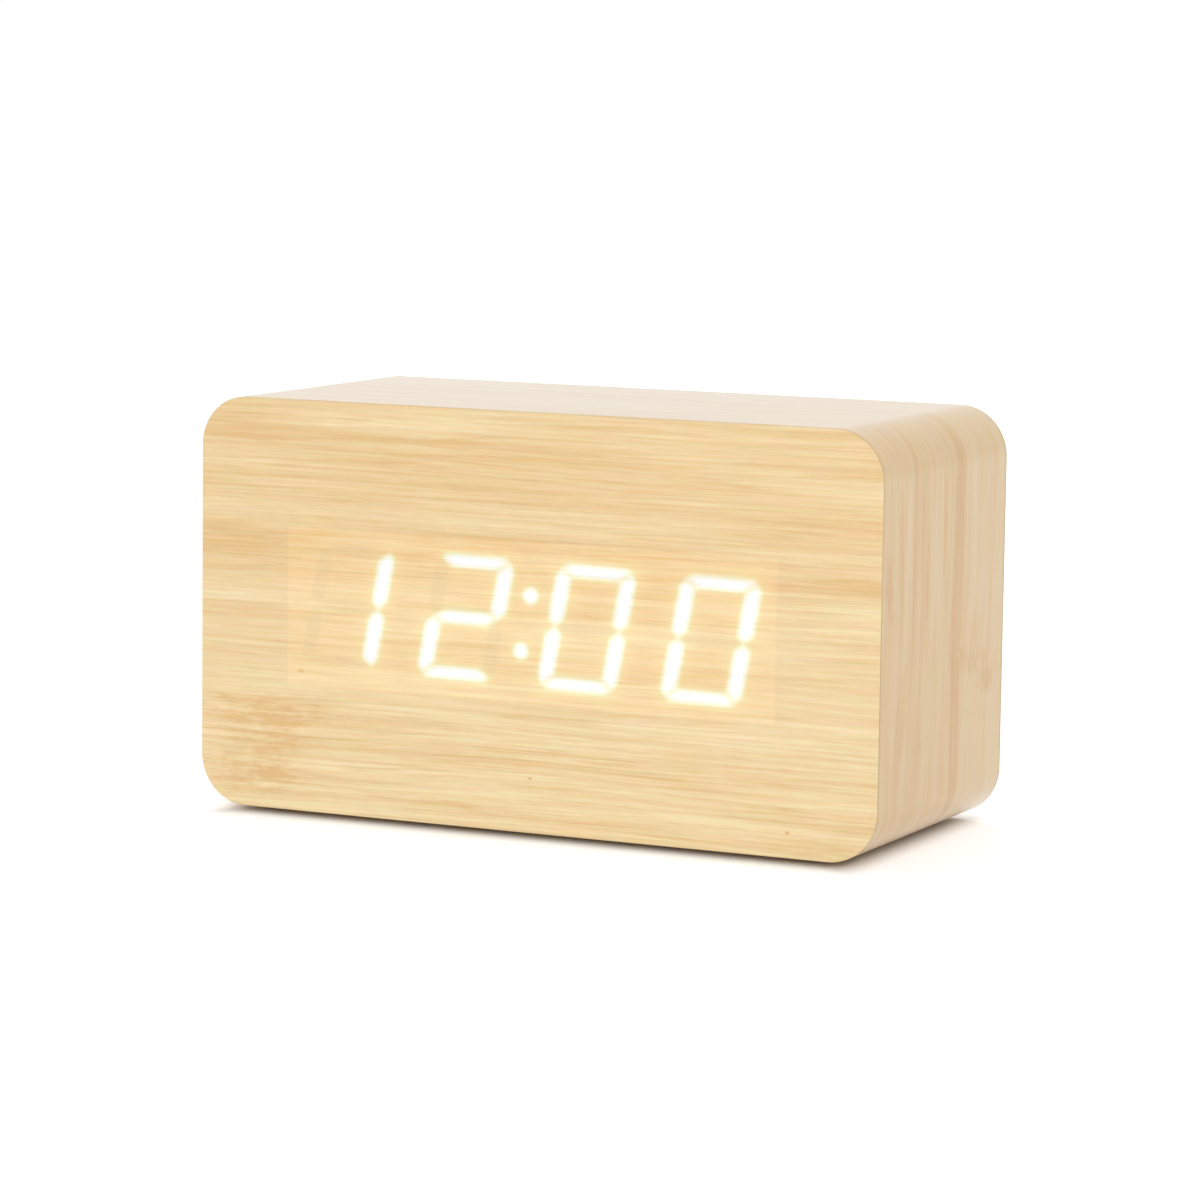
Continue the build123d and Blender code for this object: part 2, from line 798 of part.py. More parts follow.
def latch_loop():
    """Sprung loop on the door's upper edge, with a thumb pad and a nib."""
    span = about(bay_x, latch_width)
    z_bend = z_door_high + latch_bend
    outer = rod_x(y_latch_bend, z_bend, latch_bend + latch, span)
    loop = outer - rod_x(y_latch_bend, z_bend, latch_bend, span)
    loop -= block(span, (y_latch_bend, y_latch_bend + 2 * (latch_bend + latch)),
                  about(z_bend, 2 * (latch_bend + latch)))
    loop += block(span, (y_latch_bend, y_door_in), (z_door_high - latch, z_door_high))
    loop += block(span, (y_latch_bend, y_cover_out), (z_latch_top - latch, z_latch_top))
    loop += block(span, (y_cover_out - latch, y_cover_out), (z_latch_top - 2 * latch, z_latch_top))
    nib = Polyline((y_tab_in, z_latch_top), (y_tab_out, z_latch_top), (y_tab_out, z_latch_top + latch_nib),
                   close=True)
    wedge = Plane(origin=(span[0], 0, 0), x_dir=(0, 1, 0), z_dir=(1, 0, 0)) * make_face(nib)
    return loop + extrude(wedge, latch_width)


def make_battery_door():
    """Door with a rounded hinge edge, two hooks, a sprung latch and thumb ridges."""
    span = about(bay_x, door_width)
    panel = block(span, (y_door_in, y_cover_out), (z_hinge, z_door_high))
    panel = chamfer(outer_edges(panel).sort_by(Axis.Z)[1:], door_edge)
    panel += rod_x(y_hinge, z_hinge, door / 2, span)
    panel = panel + hinge_tabs() + latch_loop()
    for i in range(grip_count):
        z = z_door_high - 2 * latch - i * grip_pitch
        panel -= block(about(bay_x, grip_length), (y_cover_out - grip_depth, y_cover_out),
                       (z - grip_width, z))
    return panel


def make_door_foam_pad():
    return block(about(bay_x, foam_width), (y_door_in - foam, y_door_in), about(z_mid, foam_height))


# ------------------------------------------------------------ cells and wiring
def make_cell(row):
    """Dry cell: can, crimped rim and the button at its positive end."""
    side, z = plus_side(row), cell_z(row)
    end = bay_x + side * cell_length / 2
    shoulder = end - side * cell_button
    can = rod_x(y_cells, z, cell_radius, (bay_x - side * cell_length / 2, shoulder))
    can = chamfer(can.edges().filter_by(GeomType.CIRCLE), cell_gap)
    return can + rod_x(y_cells, z, cell_button_radius, (shoulder, end))


def sprung_leaf(side, z):
    """Arched strip that presses on a cell's flat end."""
    base = end_wall_x(side, contact_pocket - contact)
    rise = contact_room + contact_pocket - contact - contact_touch
    radius = (leaf_half ** 2 + rise ** 2) / (2 * rise)
    middle = base - side * (rise - radius)
    arch = Pos(middle, y_cells, z) * (Cylinder(radius, leaf_width) - Cylinder(radius - leaf, leaf_width))
    return arch & block((base, base - side * rise), about(y_cells, 2 * leaf_half), about(z, leaf_width))


def make_contact(name):
    """Nickel strip in its recess: a leaf behind a flat end, a dimple behind a button."""
    side, rows = contact_places()[name]
    back, face = end_wall_x(side, contact_pocket), end_wall_x(side, contact_pocket - contact)
    low, high = contact_span(rows)
    strip = block((back, face), (y_tray_floor, y_cells + leaf_half), (low, high))
    for row in rows:
        z = cell_z(row)
        if side == plus_side(row):
            dimple_end = bay_x + side * (cell_length / 2 + contact_touch)
            strip += rod_x(y_cells, z, cell_button_radius, (face, dimple_end))
        else:
            strip += sprung_leaf(side, z)
    if has_tab(name):
        strip += block((back, face), (y_tray_out - tab_reach, y_tray_floor), about(tab_z(rows), tab_width))
    return strip


def make_lead(name):
    """Insulated wire from a solder tab, along the tray floor, to the control board."""
    side, rows = contact_places()[name]
    start = end_wall_x(side, contact_pocket if side > 0 else contact_pocket - contact)
    z = tab_z(rows)
    path = FilletPolyline((start, y_lead, z), (x_lead_pad, y_lead, z), (x_lead_pad, y_board_front, z),
                          radius=lead_bend)
    return sweep(Plane(origin=path @ 0, z_dir=path % 0) * Circle(lead_radius), path)


def make_ribbon_cable():
    """Flat cable between the boards, stepping up as it crosses the pocket."""
    x, z = board_point(ribbon_x, ribbon_rise)
    gap = y_board_front - y_display_back
    path = FilletPolyline((x, y_display_back, z - ribbon_step), (x, y_display_back + gap / 3, z - ribbon_step),
                          (x, y_board_front - gap / 3, z), (x, y_board_front, z), radius=ribbon_bend)
    return sweep(Plane(origin=path @ 0, x_dir=(1, 0, 0), z_dir=path % 0) * Rectangle(ribbon_width, ribbon), path)


# -------------------------------------------------------------- control board
def make_control_board():
    plate = slab(rounded(control_board_width, board_height, board_corner, x=board_x),
                 (y_board_front, y_board_back))
    for x, z in boss_points():
        plate -= rod_y(x, z, board_screw_radius + screw_hole_gap, (y_board_front, y_board_back))
    return plate


def make_board_screws():
    return Compound(children=[
        screw(x, z, y_board_front, -1, board_screw_radius, board_screw_head, screw_head_height,
              board + board_screw_length - screw_gap) for x, z in boss_points()])


def make_switch_bodies():
    """Three tactile switches, each with the bore that its plunger slides in."""
    bodies = []
    y_top = y_board_back + switch_height
    for x, z in button_points():
        body = block(about(x, switch_size), (y_board_back, y_top), about(z, switch_size))
        body -= rod_y(x, z, plunger_radius + plunger_gap, (y_top - plunger_well, y_top))
        bodies.append(chamfer(body.edges().filter_by(Axis.Y), switch_size / 12))
    return Compound(children=bodies)


def make_plunger(place):
    x, z = button_points()[place]
    return rod_y(x, z, plunger_radius, (y_board_back + switch_height - plunger_seat, y_button_end))


def button_mark(place):
    """Mark sunk in a button's face: a dot, or a triangle that points up or down."""
    x, z = button_points()[place]
    if place == 0:
        mark = Pos(x, z) * Circle(mark_size / 2)
    else:
        mark = Pos(x, z) * Rot(0, 0, 0 if place == 1 else 180) * RegularPolygon(mark_size, 3, rotation=90)
    return slab(mark, (y_button_out - mark_depth, y_button_out))


def make_button(place):
    """Round cap with the flange that keeps it in the cover."""
    x, z = button_points()[place]
    cap = rod_y(x, z, button_radius, (y_button_end, y_button_out))
    cap = chamfer(outer_edges(cap), button_edge)
    cap += rod_y(x, z, button_flange, (y_flange - button_flange_height, y_flange))
    return cap - button_mark(place)


def make_power_jack():
    """Barrel inlet: square body on the board and a round collar in the cover."""
    x, z = board_point(jack_x, -jack_drop)
    y_face = y_cover_out - jack_face
    jack = block(about(x, jack_width), (y_board_back, y_board_back + jack_length), about(z, jack_height))
    jack += rod_y(x, z, jack_collar_radius, (y_board_back + jack_length, y_face))
    return jack - rod_y(x, z, jack_bore_radius, (y_board_back + jack_wall, y_face))


def make_jack_pin():
    x, z = board_point(jack_x, -jack_drop)
    return rod_y(x, z, jack_pin_radius, (y_board_back + jack_wall, y_cover_out - 2 * jack_face))


def make_buzzer():
    x, z = board_point(buzzer_x, -buzzer_drop)
    top = y_board_back + buzzer_height
    can = rod_y(x, z, buzzer_radius, (y_board_back, top))
    can = chamfer(can.edges().filter_by(GeomType.CIRCLE).sort_by(Axis.Y)[-1], buzzer_port / 2)
    return can - rod_y(x, z, buzzer_port, (top - buzzer_port, top))


def make_microphone():
    """Electret capsule with a raised felt disc."""
    x, z = board_point(mic_x, -mic_drop)
    top = y_board_back + mic_height
    return rod_y(x, z, mic_radius, (y_board_back, top)) + rod_y(x, z, mic_radius * 0.75, (top, top + mic_gap))


def make_coin_cell():
    x, z = board_point(coin_x, 0)
    near = y_board_front - coin_seat
    rim = rod_y(x, z, coin_radius * 0.88, (near - coin_height / 4, near))
    return rim + rod_y(x, z, coin_radius, (near - coin_height, near - coin_height / 4))


def make_coin_cell_clip():
    """Sprung strap over the coin cell, with a soldered foot at each side."""
    x, z = board_point(coin_x, 0)
    y_strap = y_board_front - coin_seat - coin_height - clip_gap
    reach = coin_radius + clip_gap
    strap = block(about(x, clip_width), (y_strap - clip, y_strap), about(z, 2 * (reach + clip)))
    for i in (-1, 1):
        leg, foot = z + i * reach, z + i * (reach + clip)
        strap += block(about(x, clip_width), (y_strap, y_board_front), (leg, foot))
        strap += block(about(x, clip_width), (y_board_front - clip, y_board_front), (foot, foot + i * clip_foot))
    return strap + rod_y(x, z, clip_width / 2, (y_board_front - coin_seat, y_board_front))


def make_controller_chip():
    """Chip with a row of bent pins along each side."""
    x, z = board_point(chip_x, 0)
    near = y_board_front - chip_lift
    chip = block(about(x, chip_width), (near - chip_height, near), about(z, chip_length))
    for i in (-1, 1):
        edge = x + i * chip_width / 2
        for pin in range(chip_pins):
            height = about(z + (pin - (chip_pins - 1) / 2) * chip_pin_pitch, chip_pin_width)
            knee = edge + i * chip_pin_reach / 2
            chip += block((edge, knee), (near - chip_height / 2, y_board_front), height)
            chip += block((knee, edge + i * chip_pin_reach), (near, y_board_front), height)
    return chip


def make_clock_crystal():
    x, z = board_point(crystal_x, crystal_rise)
    can = Pos(x, y_board_front - crystal_radius, z) * Cylinder(crystal_radius, crystal_length)
    return can - block(about(x, 2 * crystal_radius), (y_board_front - crystal_radius / 8, y_board_front),
                       about(z, crystal_length))


def make_capacitor():
    """Electrolytic capacitor with the crimped groove near its foot."""
    x, z = board_point(capacitor_x, -capacitor_drop)
    far = y_board_front - capacitor_height
    groove = (y_board_front - capacitor_height / 4, y_board_front - capacitor_height / 6)
    can = rod_y(x, z, capacitor_radius, (far, y_board_front))
    return can - tube_y(x, z, capacitor_radius, capacitor_radius * 0.9, groove)


def make_chip_resistors():
    chips = []
    for column in range(resistor_columns):
        for row in range(resistor_rows):
            x, z = board_point(resistor_x + column * resistor_pitch, -resistor_drop - row * resistor_width * 2)
            chips.append(block(about(x, resistor_length), (y_board_front - resistor_height, y_board_front),
                               about(z, resistor_width)))
    return Compound(children=chips)


# ---------------------------------------------------------------------- nodes
def make_nodes():
    """Every separate piece of the clock, by name."""
    nodes = {
        "wood_core": make_wood_core(),
        "front_veneer": make_front_veneer(),
        "wrap_veneer": make_wrap_veneer(),
        "back_veneer": make_back_veneer(),
        "foot_pads": make_foot_pads(),
        "display_reflector": make_display_reflector(),
        "diffuser_film": make_diffuser_film(),
        "display_board": make_display_board(),
        "led_chips": make_led_chips(),
        "display_screws": make_display_screws(),
        "rear_cover": make_rear_cover(),
        "cover_screws": make_cover_screws(),
        "battery_door": make_battery_door(),
        "door_foam_pad": make_door_foam_pad(),
        "lead_black": make_lead("contact_negative"),
        "lead_red": make_lead("contact_positive"),
        "ribbon_cable": make_ribbon_cable(),
        "control_board": make_control_board(),
        "board_screws": make_board_screws(),
        "switch_bodies": make_switch_bodies(),
        "power_jack": make_power_jack(),
        "jack_pin": make_jack_pin(),
        "buzzer": make_buzzer(),
        "microphone": make_microphone(),
        "coin_cell": make_coin_cell(),
        "coin_cell_clip": make_coin_cell_clip(),
        "controller_chip": make_controller_chip(),
        "clock_crystal": make_clock_crystal(),
        "capacitor": make_capacitor(),
        "chip_resistors": make_chip_resistors(),
    }
    for place, name in enumerate(("set", "up", "down")):
        nodes["button_" + name] = make_button(place)
        nodes["plunger_" + name] = make_plunger(place)
    for row in range(cells):
        nodes[f"cell_{row + 1}"] = make_cell(row)
    for name in contact_places():
        nodes[name] = make_contact(name)
    return nodes


os.makedirs("parts", exist_ok=True)
for node_name, node_shape in make_nodes().items():
    export_step(node_shape, f"parts/{node_name}.step")
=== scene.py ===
"""Looks of a desk alarm clock: a fibreboard case wrapped in bamboo veneer, a white LED
display that shines through the front veneer, and a moulded black cover behind.

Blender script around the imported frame. Lengths in the classes are millimetres, in the
frame's axes: +X to the right seen from the front, +Y into the depth, +Z up.
"""

import logging
import math
from collections.abc import Iterable, Sequence
from dataclasses import dataclass, field
from enum import Enum, IntEnum
from typing import Protocol

import bmesh
import bpy
import numpy as np
from mathutils import Matrix, Vector

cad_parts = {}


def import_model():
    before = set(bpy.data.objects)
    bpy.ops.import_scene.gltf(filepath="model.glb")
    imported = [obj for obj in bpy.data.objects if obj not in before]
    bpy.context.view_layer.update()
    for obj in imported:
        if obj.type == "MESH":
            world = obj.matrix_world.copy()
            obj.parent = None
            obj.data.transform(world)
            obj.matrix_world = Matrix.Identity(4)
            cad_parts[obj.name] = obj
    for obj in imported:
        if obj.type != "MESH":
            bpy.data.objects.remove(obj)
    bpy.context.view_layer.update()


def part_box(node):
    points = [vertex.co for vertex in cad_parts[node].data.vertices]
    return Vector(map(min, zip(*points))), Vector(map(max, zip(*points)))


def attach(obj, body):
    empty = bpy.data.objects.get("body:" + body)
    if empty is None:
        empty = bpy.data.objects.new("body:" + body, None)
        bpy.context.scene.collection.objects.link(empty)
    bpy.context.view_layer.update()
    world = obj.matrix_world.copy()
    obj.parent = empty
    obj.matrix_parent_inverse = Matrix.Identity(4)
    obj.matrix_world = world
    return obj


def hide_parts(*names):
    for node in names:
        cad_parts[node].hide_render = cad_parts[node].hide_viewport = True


log = logging.getLogger("alarm_clock")

MM = 0.001

# Sockets of a Mix node that mixes colours: its two inputs and its result.
MIX_UNDER, MIX_OVER, MIX_RESULT = 6, 7, 2

Socket = bpy.types.NodeSocket
Point = tuple[float, float]


class Toward(IntEnum):
    """End of an axis that a piece looks to."""

    PLUS = 1
    MINUS = -1


# ------------------------------------------------------------------ colour and nodes
def linear(hex_colour: str) -> tuple[float, float, float, float]:
    """Turns an sRGB colour into Blender's linear one.

    Args:
        hex_colour: six hexadecimal digits, as in "F1D3A1".

    Returns:
        Red, green and blue, linear, each 0 to 1, and 1 for the opacity.
    """
    channels = [int(hex_colour[i:i + 2], 16) / 255 for i in (0, 2, 4)]
    red, green, blue = (c / 12.92 if c <= 0.04045 else ((c + 0.055) / 1.055) ** 2.4 for c in channels)
    return red, green, blue, 1.0


def add_node(tree: bpy.types.NodeTree, kind: str, inputs: dict | None = None, out: int | str | None = 0,
             **settings: object) -> Socket | bpy.types.Node:
    """Adds a node with its settings and links.

    Args:
        tree: the node tree that gets the node.
        kind: the node's type, such as "ShaderNodeMath".
        inputs: socket number or name to a value, or to the socket that feeds it.
        out: the output to return, or None for the node itself.
        **settings: the node's own properties.

    Returns:
        The output socket that out names, or the node.
    """
    node = tree.nodes.new(kind)
    for name, value in settings.items():
        setattr(node, name, value)
    for key, value in (inputs or {}).items():
        if isinstance(value, Socket):
            tree.links.new(value, node.inputs[key])
        else:
            node.inputs[key].default_value = value
    return node if out is None or not node.outputs else node.outputs[out]


def set_ramp(ramp: bpy.types.ColorRamp, stops: Sequence[tuple[float, Sequence[float]]]) -> None:
    """Gives a colour ramp its stops.

    Args:
        ramp: the ramp of a colour ramp node.
        stops: place from 0 to 1 and linear colour of each stop, in order.
    """
    while len(ramp.elements) < len(stops):
        ramp.elements.new(1.0)
    for element, (place, colour) in zip(ramp.elements, stops):
        element.position = place
        element.color = colour


def new_material(name: str) -> tuple[bpy.types.Material, bpy.types.NodeTree, bpy.types.Node]:
    """Makes a material that holds one principled shader.

    Args:
        name: the material's name.

    Returns:
        The material, its node tree and the shader node.
    """
    material = bpy.data.materials.new(name)
    material.use_nodes = True
    tree = material.node_tree
    tree.nodes.clear()
    shader = add_node(tree, "ShaderNodeBsdfPrincipled", out=None)
    add_node(tree, "ShaderNodeOutputMaterial", {"Surface": shader.outputs[0]})
    return material, tree, shader


def set_surface(shader: bpy.types.Node, **values: float) -> None:
    """Sets uniform values on the shader's own sockets.

    Args:
        shader: a principled shader node.
        **values: socket name, with underscores for spaces, to value.
    """
    for name, value in values.items():
        shader.inputs[name.replace("_", " ").title().replace("Ior", "IOR")].default_value = value


def cover_base(tree: bpy.types.NodeTree, shader: bpy.types.Node, mask: Socket, colour: str) -> None:
    """Lays a colour over the base colour that a shader has already.

    Args:
        tree: the material's node tree.
        shader: the principled shader, whose base colour is linked.
        mask: how much of the colour covers the base, 0 to 1.
        colour: six hexadecimal digits.
    """
    under = shader.inputs["Base Color"].links[0].from_socket
    covered = add_node(tree, "ShaderNodeMix", {"Factor": mask, MIX_UNDER: under, MIX_OVER: linear(colour)},
                       out=MIX_RESULT, data_type="RGBA")
    tree.links.new(covered, shader.inputs["Base Color"])


# ------------------------------------------------------------------ bamboo veneer
class GrainSource(Enum):
    """Where a sheet of veneer reads the run of its grain."""

    FRONT = "object"      # the grain runs along X and the strips stack along Z
    WRAPPED = "girth"     # the grain runs round the case and the strips lie along the depth


@dataclass(frozen=True)
class Strip:
    """One strip of the laminated bamboo, from its lower edge up to the next strip."""

    edge: float           # mm across the grain
    tone: float           # lighter above 0, darker below
    figure: float = 1.0   # strength of its fibres, up to 2


@dataclass(frozen=True)
class Knuckle:
    """Scar of a bamboo node: the grain breaks up into short dark dashes."""

    centre: Point         # along and across the grain, mm
    reach: Point          # half extents, mm
    lean: float = 0.0     # degrees
    depth: float = 16.0   # how much darker


@dataclass(frozen=True)
class Streak:
    """Long soft stain along the grain; the front's band along its lower edge uses it for painted light."""

    centre: Point         # along and across the grain, mm
    reach: Point          # half extents, mm
    tone: float


@dataclass(frozen=True)
class BambooVeneer:
    """Carbonised bamboo veneer, sliced thin and varnished satin.

    To the eye: pale honey strips of laminated bamboo with fine, long, low-contrast fibres,
    a straight glue line between strips, and a soft sheen that whitens at a low angle.
    """

    name: str
    source: GrainSource
    strips: tuple[Strip, ...]
    knuckles: tuple[Knuckle, ...] = ()
    streaks: tuple[Streak, ...] = ()
    seed: float = 0.0
    dark: str = "E8C289"
    middle: str = "F1D4A2"
    light: str = "FAE6B8"
    tone_range: float = 21.0          # tone that reaches the dark or the light colour
    # Layers of fibre: millimetres along and across for one period, finer octaves, and tone.
    grain: tuple[tuple[Point, float, float], ...] = (
        ((90.0, 6.0), 1.0, 27.0), ((45.0, 1.5), 1.0, 33.0), ((30.0, 0.5), 1.0, 30.0),
        ((4.0, 0.45), 0.0, 11.0))
    fibre_roughness: float = 0.85     # how strong the finer octaves are
    vessels: Point = (60.0, 1.3)      # mm along and across between the dark vessel lines
    vessel_tone: float = 13.0
    vessel_width: float = 0.045       # of the noise's swing, on either side of zero
    vessel_run: Point = (26.0, 3.0)   # mm along and across in which the lines come and go
    vessel_fade: float = 0.12         # of that noise's swing, over which they do
    # Drift in hue along the fibres: millimetres along and across, and the change of red, green and blue.
    drift: tuple[tuple[Point, tuple[float, float, float]], ...] = (
        ((16.0, 1.1), (0.165, -0.10, 0.0)), ((12.0, 1.3), (0.0, 0.035, -0.28)))
    wave: float = 1.3                 # mm that the fibres wander
    wave_period: Point = (110.0, 14.0)  # mm along and across
    run_out: float = 0.0              # mm that the strips drift across for each mm along
    pivot: float = 0.0                # place along the grain where they have drifted by nothing
    last_strip: float = 60.0          # mm that the last strip is wide
    outline_period: Point = (6.0, 1.6)  # mm along and across of the fraying round a patch
    core: float = 0.25                # share of a patch's reach that has its full tone
    streak_fray: float = 0.35         # how far the fraying moves a streak's outline
    scar_fray: float = 0.6            # and a scar's
    dash: Point = (5.5, 1.5)          # mm along and across of the dashes in a scar
    dash_swing: float = 0.26          # of their noise, from the lightest to the darkest
    dash_tone: Point = (0.2, -1.1)    # lightest and darkest dash, as shares of the scar's depth
    roughness: float = 0.36
    gloss_swing: Point = (0.06, -0.04)  # what the darkest and the lightest wood add to it
    relief: float = 0.02              # mm, depth of the pores
    relief_share: float = 0.12        # how much of it the varnish lets through
    varnish: float = 0.15             # roughness of the varnish
    speck: str = "8A6236"
    speck_spacing: float = 11.0       # mm between possible resin specks
    speck_reach: Point = (0.028, 0.012)  # shares of that: faint rim and full core
    speck_rarity: Point = (0.84, 0.86)  # share of the places without a speck, and with a full one
    speck_depth: float = 0.35         # how much of its colour a full speck has

    # Third coordinates that keep one noise apart from another, counted on from the seed.
    STRIP_LAYERS, RUN_LAYER, OUTLINE_LAYER, HUE_LAYER, DASH_LAYER = 9.7, 3.0, 5.0, 7.0, 11.0

    def material(self) -> bpy.types.Material:
        """Builds the veneer's material.
        """
        material, tree, shader = new_material(self.name)
        along, across = self.grain_place(tree)
        tone = self.tone(tree, along, across)
        colour = self.colour(tree, tone, along, across)
        tree.links.new(colour, shader.inputs["Base Color"])
        gloss = add_node(tree, "ShaderNodeMapRange", {
            0: tone, 1: -self.tone_range, 2: self.tone_range,
            3: self.roughness + self.gloss_swing[0], 4: self.roughness + self.gloss_swing[1]})
        tree.links.new(gloss, shader.inputs["Roughness"])
        bump = add_node(tree, "ShaderNodeBump", {"Height": tone, "Strength": self.relief_share,
                                                 "Distance": self.relief * MM})
        tree.links.new(bump, shader.inputs["Normal"])
        set_surface(shader, ior=1.5, specular_ior_level=0.0, coat_weight=1.0,
                    coat_roughness=self.varnish, coat_ior=1.4)
        self.finish(tree, shader, along, across)
        return material

    def finish(self, tree: bpy.types.NodeTree, shader: bpy.types.Node, along: Socket, across: Socket) -> None:
        """Adds nothing to plain veneer; a sheet with more to show adds it here."""

    def grain_place(self, tree: bpy.types.NodeTree) -> tuple[Socket, Socket]:
        """Reads the place on the sheet in millimetres.

        Args:
            tree: the material's node tree.

        Returns:
            Distance along the grain and distance across it.
        """
        if self.source is GrainSource.WRAPPED:
            place = add_node(tree, "ShaderNodeUVMap", uv_map="grain")
        else:
            place = add_node(tree, "ShaderNodeTexCoord", out="Object")
        place = add_node(tree, "ShaderNodeVectorMath", {0: place, 1: (1 / MM,) * 3}, operation="MULTIPLY")
        parts = add_node(tree, "ShaderNodeSeparateXYZ", {0: place}, out=None)
        along, across = parts.outputs[0], parts.outputs[1 if self.source is GrainSource.WRAPPED else 2]
        past = add_node(tree, "ShaderNodeMath", {0: along, 1: self.pivot}, operation="SUBTRACT")
        return along, add_node(tree, "ShaderNodeMath", {0: past, 1: -self.run_out, 2: across},
                               operation="MULTIPLY_ADD")

    def fibres(self, tree: bpy.types.NodeTree, along: Socket, across: Socket, layer: Socket | float,
               period: Point, detail: float) -> Socket:
        """Adds noise that is drawn out along the grain.

        Args:
            tree: the material's node tree.
            along: place along the grain, mm.
            across: place across the grain, mm.
            layer: third coordinate, which tells strips and sheets apart.
            period: millimetres along and across for one period.
            detail: finer octaves.

        Returns:
            Noise about 0, from -0.5 to 0.5.
        """
        stretch = add_node(tree, "ShaderNodeVectorMath", {
            0: add_node(tree, "ShaderNodeCombineXYZ", {0: along, 1: across, 2: layer}),
            1: (1 / period[0], 1 / period[1], 1.0)}, operation="MULTIPLY")
        noise = add_node(tree, "ShaderNodeTexNoise", {"Vector": stretch, "Scale": 1.0, "Detail": detail,
                                                      "Roughness": self.fibre_roughness})
        return add_node(tree, "ShaderNodeMath", {0: noise, 1: 0.5}, operation="SUBTRACT")

    def tone(self, tree: bpy.types.NodeTree, along: Socket, across: Socket) -> Socket:
        """Adds up how light or dark the veneer is at each place.

        Args:
            tree: the material's node tree.
            along: place along the grain, mm.
            across: place across the grain, mm.

        Returns:
            Tone: 0 is the middle colour, plus or minus tone_range the ends.
        """
        wander = self.fibres(tree, along, across, self.seed, self.wave_period, 1.0)
        waved = add_node(tree, "ShaderNodeMath", {0: wander, 1: 2 * self.wave, 2: across},
                         operation="MULTIPLY_ADD")
        low, high = self.strips[0].edge, self.strips[-1].edge + self.last_strip
        share = add_node(tree, "ShaderNodeMapRange", {0: across, 1: low, 2: high, 3: 0.0, 4: 1.0})
        ramp = add_node(tree, "ShaderNodeValToRGB", {0: share}, out=None)
        ramp.color_ramp.interpolation = "CONSTANT"
        # The ramp holds each strip's tone in red, its number in green and its figure in blue.
        stops = []
        for number, strip in enumerate(self.strips, start=1):
            level = 0.5 + strip.tone / (2 * self.tone_range)
            stops.append(((strip.edge - low) / (high - low),
                          (level, number / len(self.strips), strip.figure / 2, 1.0)))
        set_ramp(ramp.color_ramp, stops)
        parts = add_node(tree, "ShaderNodeSeparateColor", {0: ramp.outputs[0]}, out=None)
        layer = add_node(tree, "ShaderNodeMath", {0: parts.outputs[1], 1: self.STRIP_LAYERS, 2: self.seed},
                         operation="MULTIPLY_ADD")
        base = add_node(tree, "ShaderNodeMapRange", {0: parts.outputs[0], 1: 0.0, 2: 1.0,
                                                     3: -self.tone_range, 4: self.tone_range})
        figure: Socket | float = 0.0
        for period, detail, strength in self.grain:
            noise = self.fibres(tree, along, waved, layer, period, detail)
            figure = add_node(tree, "ShaderNodeMath", {0: noise, 1: 2 * strength, 2: figure},
                              operation="MULTIPLY_ADD")
        figure = self.with_vessels(tree, along, waved, layer, figure)
        total = add_node(tree, "ShaderNodeMath", {0: figure, 1: parts.outputs[2], 2: base},
                         operation="MULTIPLY_ADD")
        for streak in self.streaks:
            mask = self.patch(tree, along, waved, streak.centre, streak.reach, 0.0, self.streak_fray)
            total = add_node(tree, "ShaderNodeMath", {0: mask, 1: streak.tone, 2: total},
                             operation="MULTIPLY_ADD")
        for knuckle in self.knuckles:
            total = self.with_knuckle(tree, along, across, total, knuckle)
        return total

    def with_vessels(self, tree: bpy.types.NodeTree, along: Socket, across: Socket, layer: Socket,
                     tone: Socket) -> Socket:
        """Draws thin dark vessel lines where a long noise crosses zero.

        Args:
            tree: the material's node tree.
            along: place along the grain, mm.
            across: place across the grain, mm.
            layer: third coordinate of the noise.
            tone: the tone so far.

        Returns:
            The tone with the lines in it.
        """
        crossing = self.fibres(tree, along, across, layer, self.vessels, 1.0)
        near = add_node(tree, "ShaderNodeMath", {0: crossing}, operation="ABSOLUTE")
        line = add_node(tree, "ShaderNodeMapRange", {0: near, 1: self.vessel_width, 2: 0.0, 3: 0.0, 4: 1.0})
        present = self.fibres(tree, along, across, self.seed + self.RUN_LAYER, self.vessel_run, 1.0)
        depth = add_node(tree, "ShaderNodeMapRange", {0: present, 1: -self.vessel_fade, 2: self.vessel_fade,
                                                      3: 0.0, 4: -2 * self.vessel_tone})
        return add_node(tree, "ShaderNodeMath", {0: line, 1: depth, 2: tone}, operation="MULTIPLY_ADD")

    def patch(self, tree: bpy.types.NodeTree, along: Socket, across: Socket, centre: Point, reach: Point,
              lean: float, fray: float) -> Socket:
        """Adds a soft patch with a frayed outline.

        Args:
            tree: the material's node tree.
            along: place along the grain, mm.
            across: place across the grain, mm.
            centre: middle of the patch, mm.
            reach: half extents of the patch, mm.
            lean: turn of the patch, degrees.
            fray: how far noise moves the outline, as a share of the patch.

        Returns:
            1 inside the patch, falling to 0 at its outline.
        """
        place = add_node(tree, "ShaderNodeCombineXYZ", {0: along, 1: across})
        local = add_node(tree, "ShaderNodeMapping", {
            0: place, 1: (centre[0], centre[1], 0.0), 2: (0.0, 0.0, math.radians(lean)),
            3: (reach[0], reach[1], 1.0)}, vector_type="TEXTURE")
        far = add_node(tree, "ShaderNodeVectorMath", {0: local}, out=1, operation="LENGTH")
        rough = self.fibres(tree, along, across, self.seed + self.OUTLINE_LAYER, self.outline_period, 2.0)
        far = add_node(tree, "ShaderNodeMath", {0: rough, 1: 2 * fray, 2: far}, operation="MULTIPLY_ADD")
        return add_node(tree, "ShaderNodeMapRange", {0: far, 1: 1.0, 2: self.core, 3: 0.0, 4: 1.0},
                        interpolation_type="SMOOTHSTEP")

